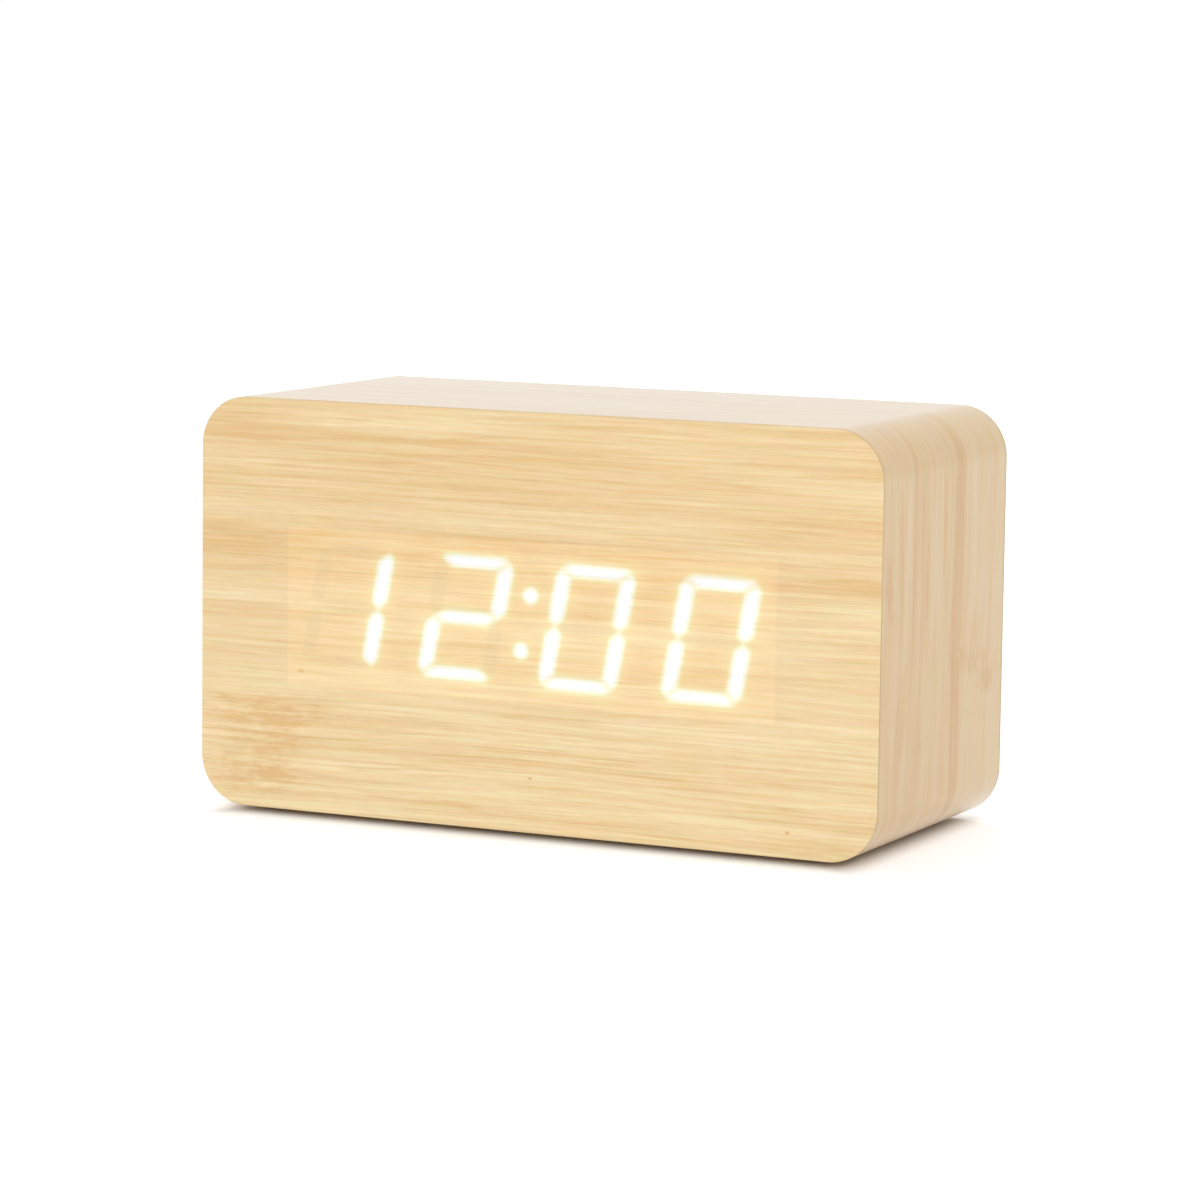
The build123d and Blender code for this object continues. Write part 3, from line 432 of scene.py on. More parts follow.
    def with_knuckle(self, tree: bpy.types.NodeTree, along: Socket, across: Socket, tone: Socket,
                     knuckle: Knuckle) -> Socket:
        """Breaks the grain up round a node scar.

        Args:
            tree: the material's node tree.
            along: place along the grain, mm.
            across: place across the grain, mm.
            tone: the tone so far.
            knuckle: the scar.

        Returns:
            The tone with the scar in it.
        """
        mask = self.patch(tree, along, across, knuckle.centre, knuckle.reach, knuckle.lean, self.scar_fray)
        dashes = self.fibres(tree, along, across, self.seed + self.DASH_LAYER, self.dash, 2.0)
        dashes = add_node(tree, "ShaderNodeMapRange", {
            0: dashes, 1: -self.dash_swing, 2: self.dash_swing,
            3: self.dash_tone[0] * knuckle.depth, 4: self.dash_tone[1] * knuckle.depth})
        return add_node(tree, "ShaderNodeMath", {0: mask, 1: dashes, 2: tone}, operation="MULTIPLY_ADD")

    def colour(self, tree: bpy.types.NodeTree, tone: Socket, along: Socket, across: Socket) -> Socket:
        """Turns tone into colour, and adds the odd dark speck.

        Args:
            tree: the material's node tree.
            tone: lightness of the veneer at each place.
            along: place along the grain, mm.
            across: place across the grain, mm.

        Returns:
            The base colour.
        """
        share = add_node(tree, "ShaderNodeMapRange", {0: tone, 1: -self.tone_range, 2: self.tone_range})
        ramp = add_node(tree, "ShaderNodeValToRGB", {0: share}, out=None)
        set_ramp(ramp.color_ramp, [(0.0, linear(self.dark)), (0.5, linear(self.middle)),
                                   (1.0, linear(self.light))])
        hue: Socket | tuple[float, float, float] = (1.0, 1.0, 1.0)
        for number, (period, change) in enumerate(self.drift):
            noise = self.fibres(tree, along, across, self.seed + self.HUE_LAYER + number, period, 2.0)
            hue = add_node(tree, "ShaderNodeVectorMath", {0: noise, 1: change, 2: hue},
                           operation="MULTIPLY_ADD")
        wood = add_node(tree, "ShaderNodeVectorMath", {0: ramp.outputs[0], 1: hue}, operation="MULTIPLY")
        cells = add_node(tree, "ShaderNodeTexVoronoi", {
            "Vector": add_node(tree, "ShaderNodeCombineXYZ", {0: along, 1: across, 2: self.seed}),
            "Scale": 1 / self.speck_spacing}, out=None)
        near = add_node(tree, "ShaderNodeMapRange", {0: cells.outputs["Distance"], 1: self.speck_reach[0],
                                                     2: self.speck_reach[1]})
        chosen = add_node(tree, "ShaderNodeSeparateColor", {0: cells.outputs["Color"]})
        chosen = add_node(tree, "ShaderNodeMapRange", {0: chosen, 1: self.speck_rarity[0],
                                                       2: self.speck_rarity[1], 4: self.speck_depth})
        speck = add_node(tree, "ShaderNodeMath", {0: near, 1: chosen}, operation="MULTIPLY")
        return add_node(tree, "ShaderNodeMix", {"Factor": speck, MIX_UNDER: wood,
                                                MIX_OVER: linear(self.speck)},
                        out=MIX_RESULT, data_type="RGBA")


@dataclass(frozen=True)
class LitBambooVeneer(BambooVeneer):
    """The same veneer over the display: the digits shine through it.

    To the eye: white strokes with a soft edge, a warm glow in the wood round them, a faint
    brighter window, and the strokes that are off as slightly greyer shapes, which are painted
    shade of their hollow wells behind the veneer.
    """

    window_centre: Point = (0.0, 0.0)   # X and Z, mm
    window_reach: Point = (45.0, 13.5)  # half extents, mm
    # Distance from the stroke in mm, and the light that comes through there.
    light_stops: tuple[tuple[float, str], ...] = (
        (-0.82, "C4E4FF"), (-0.48, "489ACB"), (-0.18, "4895B1"), (0.00, "428D9F"),
        (0.17, "357B80"), (0.34, "21645F"), (0.51, "195144"), (0.82, "293D2B"),
        (2.00, "21211F"), (3.10, "021217"), (4.60, "00000C"), (7.10, "000000"))
    wash: str = "463315"                # stray light all over the window
    wash_edge: float = 0.4              # mm, half of its soft edge
    unlit_shade: str = "C9BD9C"               # painted shade: wood over a stroke that is off, greyed as if by its hollow well behind
    unlit_share: float = 0.15
    unlit_edge: float = 0.4             # mm, half of its soft edge

    def finish(self, tree: bpy.types.NodeTree, shader: bpy.types.Node, along: Socket, across: Socket) -> None:
        """Adds the light of the display.

        Args:
            tree: the material's node tree.
            shader: the principled shader.
            along: place along the grain, mm.
            across: place across the grain, mm.
        """
        far = add_node(tree, "ShaderNodeAttribute", out="Fac", attribute_name="lit_distance")
        nearest, farthest = self.light_stops[0][0], self.light_stops[-1][0]
        share = add_node(tree, "ShaderNodeMapRange", {0: far, 1: nearest, 2: farthest})
        ramp = add_node(tree, "ShaderNodeValToRGB", {0: share}, out=None)
        set_ramp(ramp.color_ramp, [((d - nearest) / (farthest - nearest), linear(c))
                                   for d, c in self.light_stops])
        window = self.window_mask(tree, along, across)
        wash = add_node(tree, "ShaderNodeMix", {"Factor": window, MIX_UNDER: linear("000000"),
                                                MIX_OVER: linear(self.wash)},
                        out=MIX_RESULT, data_type="RGBA")
        light = add_node(tree, "ShaderNodeMix", {"Factor": 1.0, MIX_UNDER: ramp.outputs[0], MIX_OVER: wash},
                         out=MIX_RESULT, data_type="RGBA", blend_type="ADD")
        tree.links.new(light, shader.inputs["Emission Color"])
        set_surface(shader, emission_strength=1.0)
        self.paint_unlit_shade(tree, shader)

    def window_mask(self, tree: bpy.types.NodeTree, along: Socket, across: Socket) -> Socket:
        """Marks the reflector's rectangle, with a soft edge.

        Args:
            tree: the material's node tree.
            along: place along X, mm.
            across: place along Z, mm.

        Returns:
            1 inside the rectangle and 0 outside.
        """
        mask = None
        for place, centre, reach in zip((along, across), self.window_centre, self.window_reach):
            off = add_node(tree, "ShaderNodeMath", {0: place, 1: centre}, operation="SUBTRACT")
            off = add_node(tree, "ShaderNodeMath", {0: off}, operation="ABSOLUTE")
            inside = add_node(tree, "ShaderNodeMapRange", {0: off, 1: reach + self.wash_edge,
                                                           2: reach - self.wash_edge},
                              interpolation_type="SMOOTHSTEP")
            mask = inside if mask is None else add_node(tree, "ShaderNodeMath", {0: mask, 1: inside},
                                                        operation="MULTIPLY")
        return mask

    def paint_unlit_shade(self, tree: bpy.types.NodeTree, shader: bpy.types.Node) -> None:
        """Paints a little shade over the strokes that are off, where their hollow wells lie behind the
        veneer.

        Args:
            tree: the material's node tree.
            shader: the principled shader, whose base colour is already linked.
        """
        off = add_node(tree, "ShaderNodeAttribute", out="Fac", attribute_name="unlit_distance")
        mask = add_node(tree, "ShaderNodeMapRange", {0: off, 1: self.unlit_edge, 2: -self.unlit_edge,
                                                     4: self.unlit_share},
                        interpolation_type="SMOOTHSTEP")
        cover_base(tree, shader, mask, self.unlit_shade)


# ------------------------------------------------------------------ other finishes
@dataclass(frozen=True)
class Finish:
    """A plain made surface: two close tones mixed by noise, and a fine relief."""

    name: str
    colour: str
    other: str                       # the tone that it varies to
    roughness: float = 0.5
    metallic: float = 0.0
    ior: float = 1.5
    grain: float = 0.4               # mm, size of the relief
    relief: float = 0.01             # mm, depth of the relief
    cloud: float = 6.0               # mm, size of the variation in tone
    stretch: tuple[float, float, float] = (1.0, 1.0, 1.0)

    # Part of the noise's swing that the tone and the gloss follow, and what it adds to the roughness.
    CLOUD_SWING, FINE_SWING, GLOSS_SWING = (0.32, 0.68), (0.3, 0.7), (-0.05, 0.08)

    def material(self) -> bpy.types.Material:
        """Builds the material of this surface.

        Returns:
            The material, complete with what pattern() adds.
        """
        material, tree, shader = new_material(self.name)
        place = add_node(tree, "ShaderNodeTexCoord", out="Object")
        place = add_node(tree, "ShaderNodeVectorMath", {0: place, 1: tuple(s / MM for s in self.stretch)},
                         operation="MULTIPLY")
        cloud = add_node(tree, "ShaderNodeTexNoise", {"Vector": place, "Scale": 1 / self.cloud,
                                                      "Detail": 3.0, "Roughness": 0.6})
        mix = add_node(tree, "ShaderNodeMapRange", {0: cloud, 1: self.CLOUD_SWING[0],
                                                    2: self.CLOUD_SWING[1]})
        colour = add_node(tree, "ShaderNodeMix", {"Factor": mix, MIX_UNDER: linear(self.colour),
                                                  MIX_OVER: linear(self.other)},
                          out=MIX_RESULT, data_type="RGBA")
        tree.links.new(colour, shader.inputs["Base Color"])
        fine = add_node(tree, "ShaderNodeTexNoise", {"Vector": place, "Scale": 1 / self.grain,
                                                     "Detail": 2.0, "Roughness": 0.7})
        gloss = add_node(tree, "ShaderNodeMapRange", {
            0: fine, 1: self.FINE_SWING[0], 2: self.FINE_SWING[1],
            3: self.roughness + self.GLOSS_SWING[0], 4: self.roughness + self.GLOSS_SWING[1]})
        tree.links.new(gloss, shader.inputs["Roughness"])
        bump = add_node(tree, "ShaderNodeBump", {"Height": fine, "Distance": self.relief * MM,
                                                 "Strength": 1.0})
        tree.links.new(bump, shader.inputs["Normal"])
        set_surface(shader, metallic=self.metallic, ior=self.ior)
        self.pattern(tree, shader, place)
        return material

    def pattern(self, tree: bpy.types.NodeTree, shader: bpy.types.Node, place: Socket) -> None:
        """Adds nothing here; a finish with a pattern of its own adds it."""


@dataclass(frozen=True)
class CircuitBoard(Finish):
    """Glass-fibre board under green solder resist.

    To the eye: glossy green with slightly lighter copper tracks under it.
    """

    track: str = "2E7A4A"
    track_pitch: float = 2.4         # mm
    track_place: float = 0.42        # share of the pitch, from a pad to the track round it
    track_width: float = 0.10        # half of it, as a share of the pitch

    def pattern(self, tree: bpy.types.NodeTree, shader: bpy.types.Node, place: Socket) -> None:
        """Adds the tracks.

        Args:
            tree: the material's node tree.
            shader: the principled shader, whose base colour is already linked.
            place: place on the board, mm.
        """
        flat = add_node(tree, "ShaderNodeVectorMath", {0: place, 1: (1.0, 0.0, 1.0)}, operation="MULTIPLY")
        cells = add_node(tree, "ShaderNodeTexVoronoi", {"Vector": flat, "Scale": 1 / self.track_pitch},
                         feature="F1", distance="MANHATTAN", out=None)
        band = add_node(tree, "ShaderNodeMath", {0: cells.outputs["Distance"], 1: self.track_place,
                                                 2: self.track_width}, operation="COMPARE")
        cover_base(tree, shader, band, self.track)


@dataclass(frozen=True)
class CellJacket(Finish):
    """Shrunk foil jacket of a dry cell, charcoal with a copper band at the positive end."""

    band: str = "B9743A"
    band_edges: Point = (0.0, 0.0)   # X of the band's lower and higher edge, mm

    def pattern(self, tree: bpy.types.NodeTree, shader: bpy.types.Node, place: Socket) -> None:
        """Adds the copper band.

        Args:
            tree: the material's node tree.
            shader: the principled shader, whose base colour is already linked.
            place: place on the cell, mm.
        """
        x = add_node(tree, "ShaderNodeSeparateXYZ", {0: place})
        low, high = self.band_edges
        band = add_node(tree, "ShaderNodeMath", {0: x, 1: (low + high) / 2, 2: (high - low) / 2},
                        operation="COMPARE")
        cover_base(tree, shader, band, self.band)


@dataclass(frozen=True)
class MarkedAbs(Finish):
    """Moulded black button with white paint wiped into its sunk mark."""

    paint: str = "D9D9D4"
    centre: Point = (0.0, 0.0)       # X and Z of the button's axis, mm
    floor: float = 0.0               # Y of the mark's floor, mm
    reach: float = 1.6               # mm, radius that holds the mark
    fill: float = 0.12               # mm of the mark's depth that the paint wets

    def pattern(self, tree: bpy.types.NodeTree, shader: bpy.types.Node, place: Socket) -> None:
        """Adds the paint.

        Args:
            tree: the material's node tree.
            shader: the principled shader, whose base colour is already linked.
            place: place on the button, mm.
        """
        off = add_node(tree, "ShaderNodeVectorMath", {
            0: place, 1: (self.centre[0], self.floor, self.centre[1])}, operation="SUBTRACT")
        flat = add_node(tree, "ShaderNodeVectorMath", {0: off, 1: (1.0, 0.0, 1.0)}, operation="MULTIPLY")
        far = add_node(tree, "ShaderNodeVectorMath", {0: flat}, out=1, operation="LENGTH")
        inside = add_node(tree, "ShaderNodeMath", {0: far, 1: self.reach}, operation="LESS_THAN")
        depth = add_node(tree, "ShaderNodeSeparateXYZ", {0: off}, out=1)
        wet = add_node(tree, "ShaderNodeMath", {0: depth, 1: 0.0, 2: self.fill}, operation="COMPARE")
        painted = add_node(tree, "ShaderNodeMath", {0: inside, 1: wet}, operation="MULTIPLY")
        cover_base(tree, shader, painted, self.paint)


# Fibres of compressed wood, cut by a router: brown, matt and slightly furry.
FIBREBOARD = Finish("cut_fibreboard", "A88258", "8F6B45", roughness=0.9, grain=0.35, relief=0.06,
                    cloud=1.6)
# Veneer cut square at the front: greyer and duller than its varnished face.
CUT_VENEER = Finish("cut_veneer_edge", "DCC597", "CDB484", roughness=0.6, grain=0.3, relief=0.02,
                    stretch=(1.0, 3.0, 1.0))
# Spark-eroded mould texture: black, matt, with a pearly grain at a low angle.
TEXTURED_ABS = Finish("moulded_abs_textured", "1B1B1D", "29292C", roughness=0.52, grain=0.45,
                      relief=0.06, cloud=0.9)
# Polished mould: the same black, smoother, with soft highlights.
SMOOTH_ABS = Finish("moulded_abs_smooth", "1C1C1E", "222224", roughness=0.30, grain=0.8, relief=0.004,
                    cloud=9.0)
# Soft rubber, dusty black.
FOOT_RUBBER = Finish("foot_rubber", "232323", "2C2B2A", roughness=0.85, grain=0.3, relief=0.02)
# Opaque white styrene, slightly glossy.
WHITE_STYRENE = Finish("moulded_white_styrene", "EDEDE8", "E6E6E0", roughness=0.4, grain=0.5,
                       relief=0.004)
# Matt translucent polyester.
DIFFUSER_FILM = Finish("matt_polyester_film", "EDEEEA", "E4E5E0", roughness=0.75, grain=0.2, relief=0.003)
# Warm phosphor under clear resin.
LED_PACKAGE = Finish("led_phosphor", "F4EBB4", "EFE2A0", roughness=0.25, grain=0.3, relief=0.002)
# Bright zinc plate with a faint blue cast.
ZINC_PLATE = Finish("zinc_plated_steel", "B9BCC2", "A7AAB0", roughness=0.32, metallic=1.0, grain=0.3,
                    relief=0.004, cloud=1.2)
# Nickel plate on spring strip, with the rolling marks along it.
NICKEL_STRIP = Finish("nickel_plated_strip", "C9C5BA", "B5B1A6", roughness=0.28, metallic=1.0, grain=0.25,
                      relief=0.003, stretch=(1.0, 1.0, 0.1))
# Drawn aluminium or tinned can, satin.
DRAWN_CAN = Finish("drawn_can", "C6C7C9", "B4B5B8", roughness=0.3, metallic=1.0, grain=0.25, relief=0.003)
# Filled epoxy, near black and matt.
COMPONENT_EPOXY = Finish("component_epoxy", "1B1C1D", "242526", roughness=0.6, grain=0.25, relief=0.01)
# Ivory acetal, waxy.
ACETAL = Finish("acetal", "CFC9B8", "C6BFAC", roughness=0.45, grain=0.4, relief=0.003)
# Flexible PVC insulation, slightly glossy.
BLACK_PVC = Finish("black_pvc", "1A1A1B", "202021", roughness=0.38, grain=0.5, relief=0.004)
RED_PVC = Finish("red_pvc", "B3221E", "A61D1A", roughness=0.38, grain=0.5, relief=0.004)
# Flat cable: grey PVC, ribbed along each core.
RIBBON_PVC = Finish("ribbon_pvc", "B0B1B3", "9EA0A3", roughness=0.42, grain=0.6, relief=0.08,
                    stretch=(2.0, 0.05, 0.05))
# Sintered ceramic with a matt black glaze.
RESISTOR_GLAZE = Finish("resistor_glaze", "26272B", "303136", roughness=0.5, grain=0.2, relief=0.004)
# Closed-cell foam, black and dull, with open pores at the skin.
FOAM = Finish("closed_cell_foam", "1D1D1E", "2A2A2B", roughness=0.95, grain=0.5, relief=0.12, cloud=2.0)


def shared(finish: Finish) -> bpy.types.Material:
    """The finish's material, built the first time that a piece asks for it."""
    return bpy.data.materials.get(finish.name) or finish.material()


# ------------------------------------------------------------------ meshes
def mesh_piece(name: str, vertices: Iterable[Sequence[float]], faces: Sequence[Sequence[int]],
               body: str, smooth_below: float = 40.0) -> bpy.types.Object:
    """Makes a mesh object from points in millimetres and lets it ride on a body.

    Args:
        name: the piece's name.
        vertices: points, mm.
        faces: vertex numbers of each face.
        body: the CAD body that carries it.
        smooth_below: degrees up to which an edge is shaded smooth.

    Returns:
        The new object.
    """
    mesh = bpy.data.meshes.new(name)
    mesh.from_pydata([tuple(c * MM for c in v) for v in vertices], [], faces)
    sheet = bmesh.new()
    sheet.from_mesh(mesh)
    bmesh.ops.remove_doubles(sheet, verts=sheet.verts, dist=1e-7)
    bmesh.ops.recalc_face_normals(sheet, faces=sheet.faces)
    sheet.to_mesh(mesh)
    sheet.free()
    mesh.polygons.foreach_set("use_smooth", [True] * len(mesh.polygons))
    mesh.set_sharp_from_angle(angle=math.radians(smooth_below))
    piece = bpy.data.objects.new(name, mesh)
    bpy.context.scene.collection.objects.link(piece)
    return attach(piece, body)


def dress(piece: bpy.types.Object, *materials: bpy.types.Material) -> bpy.types.Object:
    """Puts materials into a piece's slots in place of what was there.

    Args:
        piece: the object to dress.
        *materials: one material for each slot.

    Returns:
        The same object.
    """
    piece.data.materials.clear()
    for material in materials:
        piece.data.materials.append(material)
    return piece


def dress_node(node: str, finish: Finish) -> bpy.types.Object:
    """Gives a CAD node, whose shape stays as it is, a finish."""
    return dress(bpy.data.objects[node], shared(finish))


def dress_sides(piece: bpy.types.Object) -> None:
    """Gives an upright sheet's faces its first material and its sides the second."""
    for polygon in piece.data.polygons:
        polygon.material_index = int(abs(polygon.normal.y) < 0.5)


def grid_faces(columns: int, rows: int, start: int = 0) -> list[tuple[int, ...]]:
    """Joins a grid of vertices by quads.

    Args:
        columns: vertices in a row.
        rows: rows of vertices.
        start: number of the grid's first vertex.

    Returns:
        Vertex numbers of each quad, row by row.
    """
    return [(start + r * columns + c, start + r * columns + c + 1,
             start + (r + 1) * columns + c + 1, start + (r + 1) * columns + c)
            for r in range(rows - 1) for c in range(columns - 1)]


def grid_border(columns: int, rows: int) -> list[int]:
    """Goes once round a grid of vertices.

    Args:
        columns: vertices in a row.
        rows: rows of vertices.

    Returns:
        Vertex numbers, anticlockwise from the lower left corner.
    """
    lower = list(range(columns))
    right = [r * columns + columns - 1 for r in range(1, rows)]
    upper = [(rows - 1) * columns + c for c in range(columns - 2, -1, -1)]
    left = [r * columns for r in range(rows - 2, 0, -1)]
    return lower + right + upper + left


def ring_faces(first: int, second: int, count: int) -> list[tuple[int, ...]]:
    """Joins two closed rings of vertices by quads.

    Args:
        first: number of the one ring's first vertex.
        second: number of the other ring's first vertex.
        count: vertices in each ring.

    Returns:
        Vertex numbers of each quad.
    """
    return [(first + i, first + (i + 1) % count, second + (i + 1) % count, second + i)
            for i in range(count)]


def span_of(node: str) -> tuple[np.ndarray, np.ndarray]:
    """Lowest and highest corner of a CAD node, in millimetres."""
    low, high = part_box(node)
    return np.array(low) / MM, np.array(high) / MM


@dataclass(frozen=True)
class RoundedOutline:
    """Rounded rectangle in the X-Z plane, about a point half way up the case."""

    width: float
    height: float
    radius: float
    middle_z: float

    def inset(self, by: float) -> "RoundedOutline":
        """The same outline, moved inwards all round."""
        return RoundedOutline(self.width - 2 * by, self.height - 2 * by, self.radius - by, self.middle_z)

    def corner(self, right: int, up: int, steps: int) -> list[Point]:
        """Points of one rounded corner, from the side that faces X to the side that faces Z.

        Args:
            right: 1 for the right side, -1 for the left.
            up: 1 for the upper corner, -1 for the lower.
            steps: stretches that the corner is made of.

        Returns:
            X and Z of steps + 1 points.
        """
        centre_x = self.width / 2 - self.radius
        centre_z = self.height / 2 - self.radius
        turns = [math.pi / 2 * i / steps for i in range(steps + 1)]
        return [(right * (centre_x + self.radius * math.cos(t)),
                 self.middle_z + up * (centre_z + self.radius * math.sin(t))) for t in turns]

    def loop(self, steps: int) -> list[Point]:
        """Points of the whole outline.

        Args:
            steps: stretches that each corner is made of.

        Returns:
            X and Z of the points, anticlockwise as seen from the front, from the lower right corner.
        """
        lower_right = self.corner(1, -1, steps)[::-1]
        upper_right = self.corner(1, 1, steps)
        upper_left = self.corner(-1, 1, steps)[::-1]
        lower_left = self.corner(-1, -1, steps)
        return lower_right + upper_right + upper_left + lower_left


# ------------------------------------------------------------------ the display's strokes
@dataclass(frozen=True)
class SevenSegments:
    """Strokes of the display, as they lie behind the veneer."""

    centre: Point                     # X and Z, mm
    digit_height: float = 20.9
    digit_width: float = 14.4
    pitch: float = 22.35
    slant: float = 9.6                # degrees
    tilt: float = -0.95               # degrees that the row of digits hangs off level
    upright: float = 2.7              # width of an upright stroke
    level: float = 2.0                # width of a level stroke
    gap: float = 0.4
    corner_cut: float = 1.8
    dot_radius: float = 1.27
    dot_rise: float = 4.65
    rounding: float = 0.24            # softens corners, and joins the light of two strokes
    shown: str = "1200"

    # Strokes that are lit for each numeral, named clockwise from the top, then the middle.
    LIT = {"0": "abcdef", "1": "bc", "2": "abged"}

    def strokes(self) -> dict[str, list[Point]]:
        """Works out the strokes of one digit.

        Returns:
            Outline of each stroke, upright and about the digit's centre.
        """
        half_w, half_h = self.digit_width / 2, self.digit_height / 2
        # Two strokes meet at a mitre: each stops half a gap short of it, and its outer corner is cut.
        mitre = math.hypot(self.upright, self.level)
        tip, gap = self.gap / 2 * mitre / self.level, self.gap / 2 * mitre / self.upright
        lean = (self.upright - self.level) / mitre * self.gap / 2
        both = self.upright + self.level
        reach = 1 - (self.corner_cut + lean) / both
        # Right half of the top stroke: its cut outer corner, the mitre's two ends.
        right = [(half_w - self.corner_cut, half_h),
                 (half_w - self.upright - self.level / mitre * self.gap / 2 + reach * self.upright,
                  half_h - self.level + self.upright / mitre * self.gap / 2 + reach * self.level),
                 (half_w - self.upright - tip, half_h - self.level)]
        top = right + [(-x, z) for x, z in reversed(right)]
        # Right half of the middle stroke, which ends in a point between two uprights.
        right = [(half_w - self.upright - tip, self.level / 2), (half_w - self.upright / 2 - tip, 0.0),
                 (half_w - self.upright - tip, -self.level / 2)]
        middle = right + [(-x, z) for x, z in reversed(right)]
        # Upper right stroke, from its outer corner round to the point beside the middle stroke.
        reach = 1 - (self.corner_cut - lean) / both
        side = [(half_w, half_h - self.corner_cut),
                (half_w - self.upright + self.level / mitre * self.gap / 2 + reach * self.upright,
                 half_h - self.level - self.upright / mitre * self.gap / 2 + reach * self.level),
                (half_w - self.upright, half_h - self.level - gap),
                (half_w - self.upright, self.level / 2 + gap),
                (half_w - self.upright / 2, gap),
                (half_w, self.level / 2 + gap)]
        return {"a": top, "b": side, "c": [(x, -z) for x, z in side], "d": [(x, -z) for x, z in top],
                "e": [(-x, -z) for x, z in side], "f": [(-x, z) for x, z in side], "g": middle}

    def place(self, x: float, z: float) -> Point:
        """Moves a point of the display to its place behind the veneer.

        Args:
            x: from the middle of the row to the right, mm.
            z: from the middle of the row upwards, mm.

        Returns:
            X and Z in the frame, mm.
        """
        turn = math.radians(self.tilt)
        return (x * math.cos(turn) - z * math.sin(turn) + self.centre[0],
                x * math.sin(turn) + z * math.cos(turn) + self.centre[1])

    def distance(self, points: np.ndarray, lit: bool) -> np.ndarray:
        """Signed distance of points from the strokes that are lit, or from those that aren't.

        Args:
            points: X and Z of each point, mm, as an array of two columns.
            lit: True for the strokes that shine and the colon, False for the others.

        Returns:
            Distance of each point in millimetres, negative inside a stroke.
        """
        found = []
        lean = math.tan(math.radians(self.slant))
        for number, numeral in enumerate(self.shown):
            shift = (number - (len(self.shown) - 1) / 2) * self.pitch
            for name, outline in self.strokes().items():
                if (name in self.LIT[numeral]) == lit:
                    placed = np.array([self.place(x + z * lean + shift, z) for x, z in outline])
                    found.append(stroke_distance(points, placed, self.rounding))
        if lit:
            for rise in (-self.dot_rise, self.dot_rise):
                dot = np.array(self.place(rise * lean, rise))
                found.append(np.linalg.norm(points - dot, axis=1) - self.dot_radius)
        # A soft minimum, so that the light of two strokes runs together where they nearly meet.
        nearest = np.min(found, axis=0)
        shares = np.exp((nearest - np.array(found)) / self.rounding).sum(axis=0)
        return nearest - self.rounding * np.log(shares)


def stroke_distance(points: np.ndarray, outline: np.ndarray, rounding: float) -> np.ndarray:
    """Signed distance of points from a convex stroke with rounded corners.

    Args:
        points: array of two columns.
        outline: corners of the stroke, as an array of two columns.
        rounding: how much its corners are rounded.

    Returns:
        Distance of each point, negative inside.
    """
    edges = np.roll(outline, -1, axis=0) - outline
    lengths = np.linalg.norm(edges, axis=1)
    ahead = np.roll(outline, -1, axis=0)
    turn = np.sign((outline[:, 0] * ahead[:, 1] - outline[:, 1] * ahead[:, 0]).sum())
    normals = np.stack([edges[:, 1], -edges[:, 0]], axis=1) / lengths[:, None] * turn
    offsets = points[:, None, :] - outline
    past = (offsets * normals).sum(axis=2)
    highest = past.max(axis=1)
    rounded = highest + rounding * np.log(np.exp((past - highest[:, None]) / rounding).sum(axis=1))
    along = np.clip((offsets * edges).sum(axis=2) / lengths ** 2, 0.0, 1.0)
    straight = np.linalg.norm(offsets - along[..., None] * edges, axis=2).min(axis=1)
    far = np.clip(straight / rounding / 3, 0.0, 1.0) * (highest > 0)
    return rounded + far * (straight - rounded)


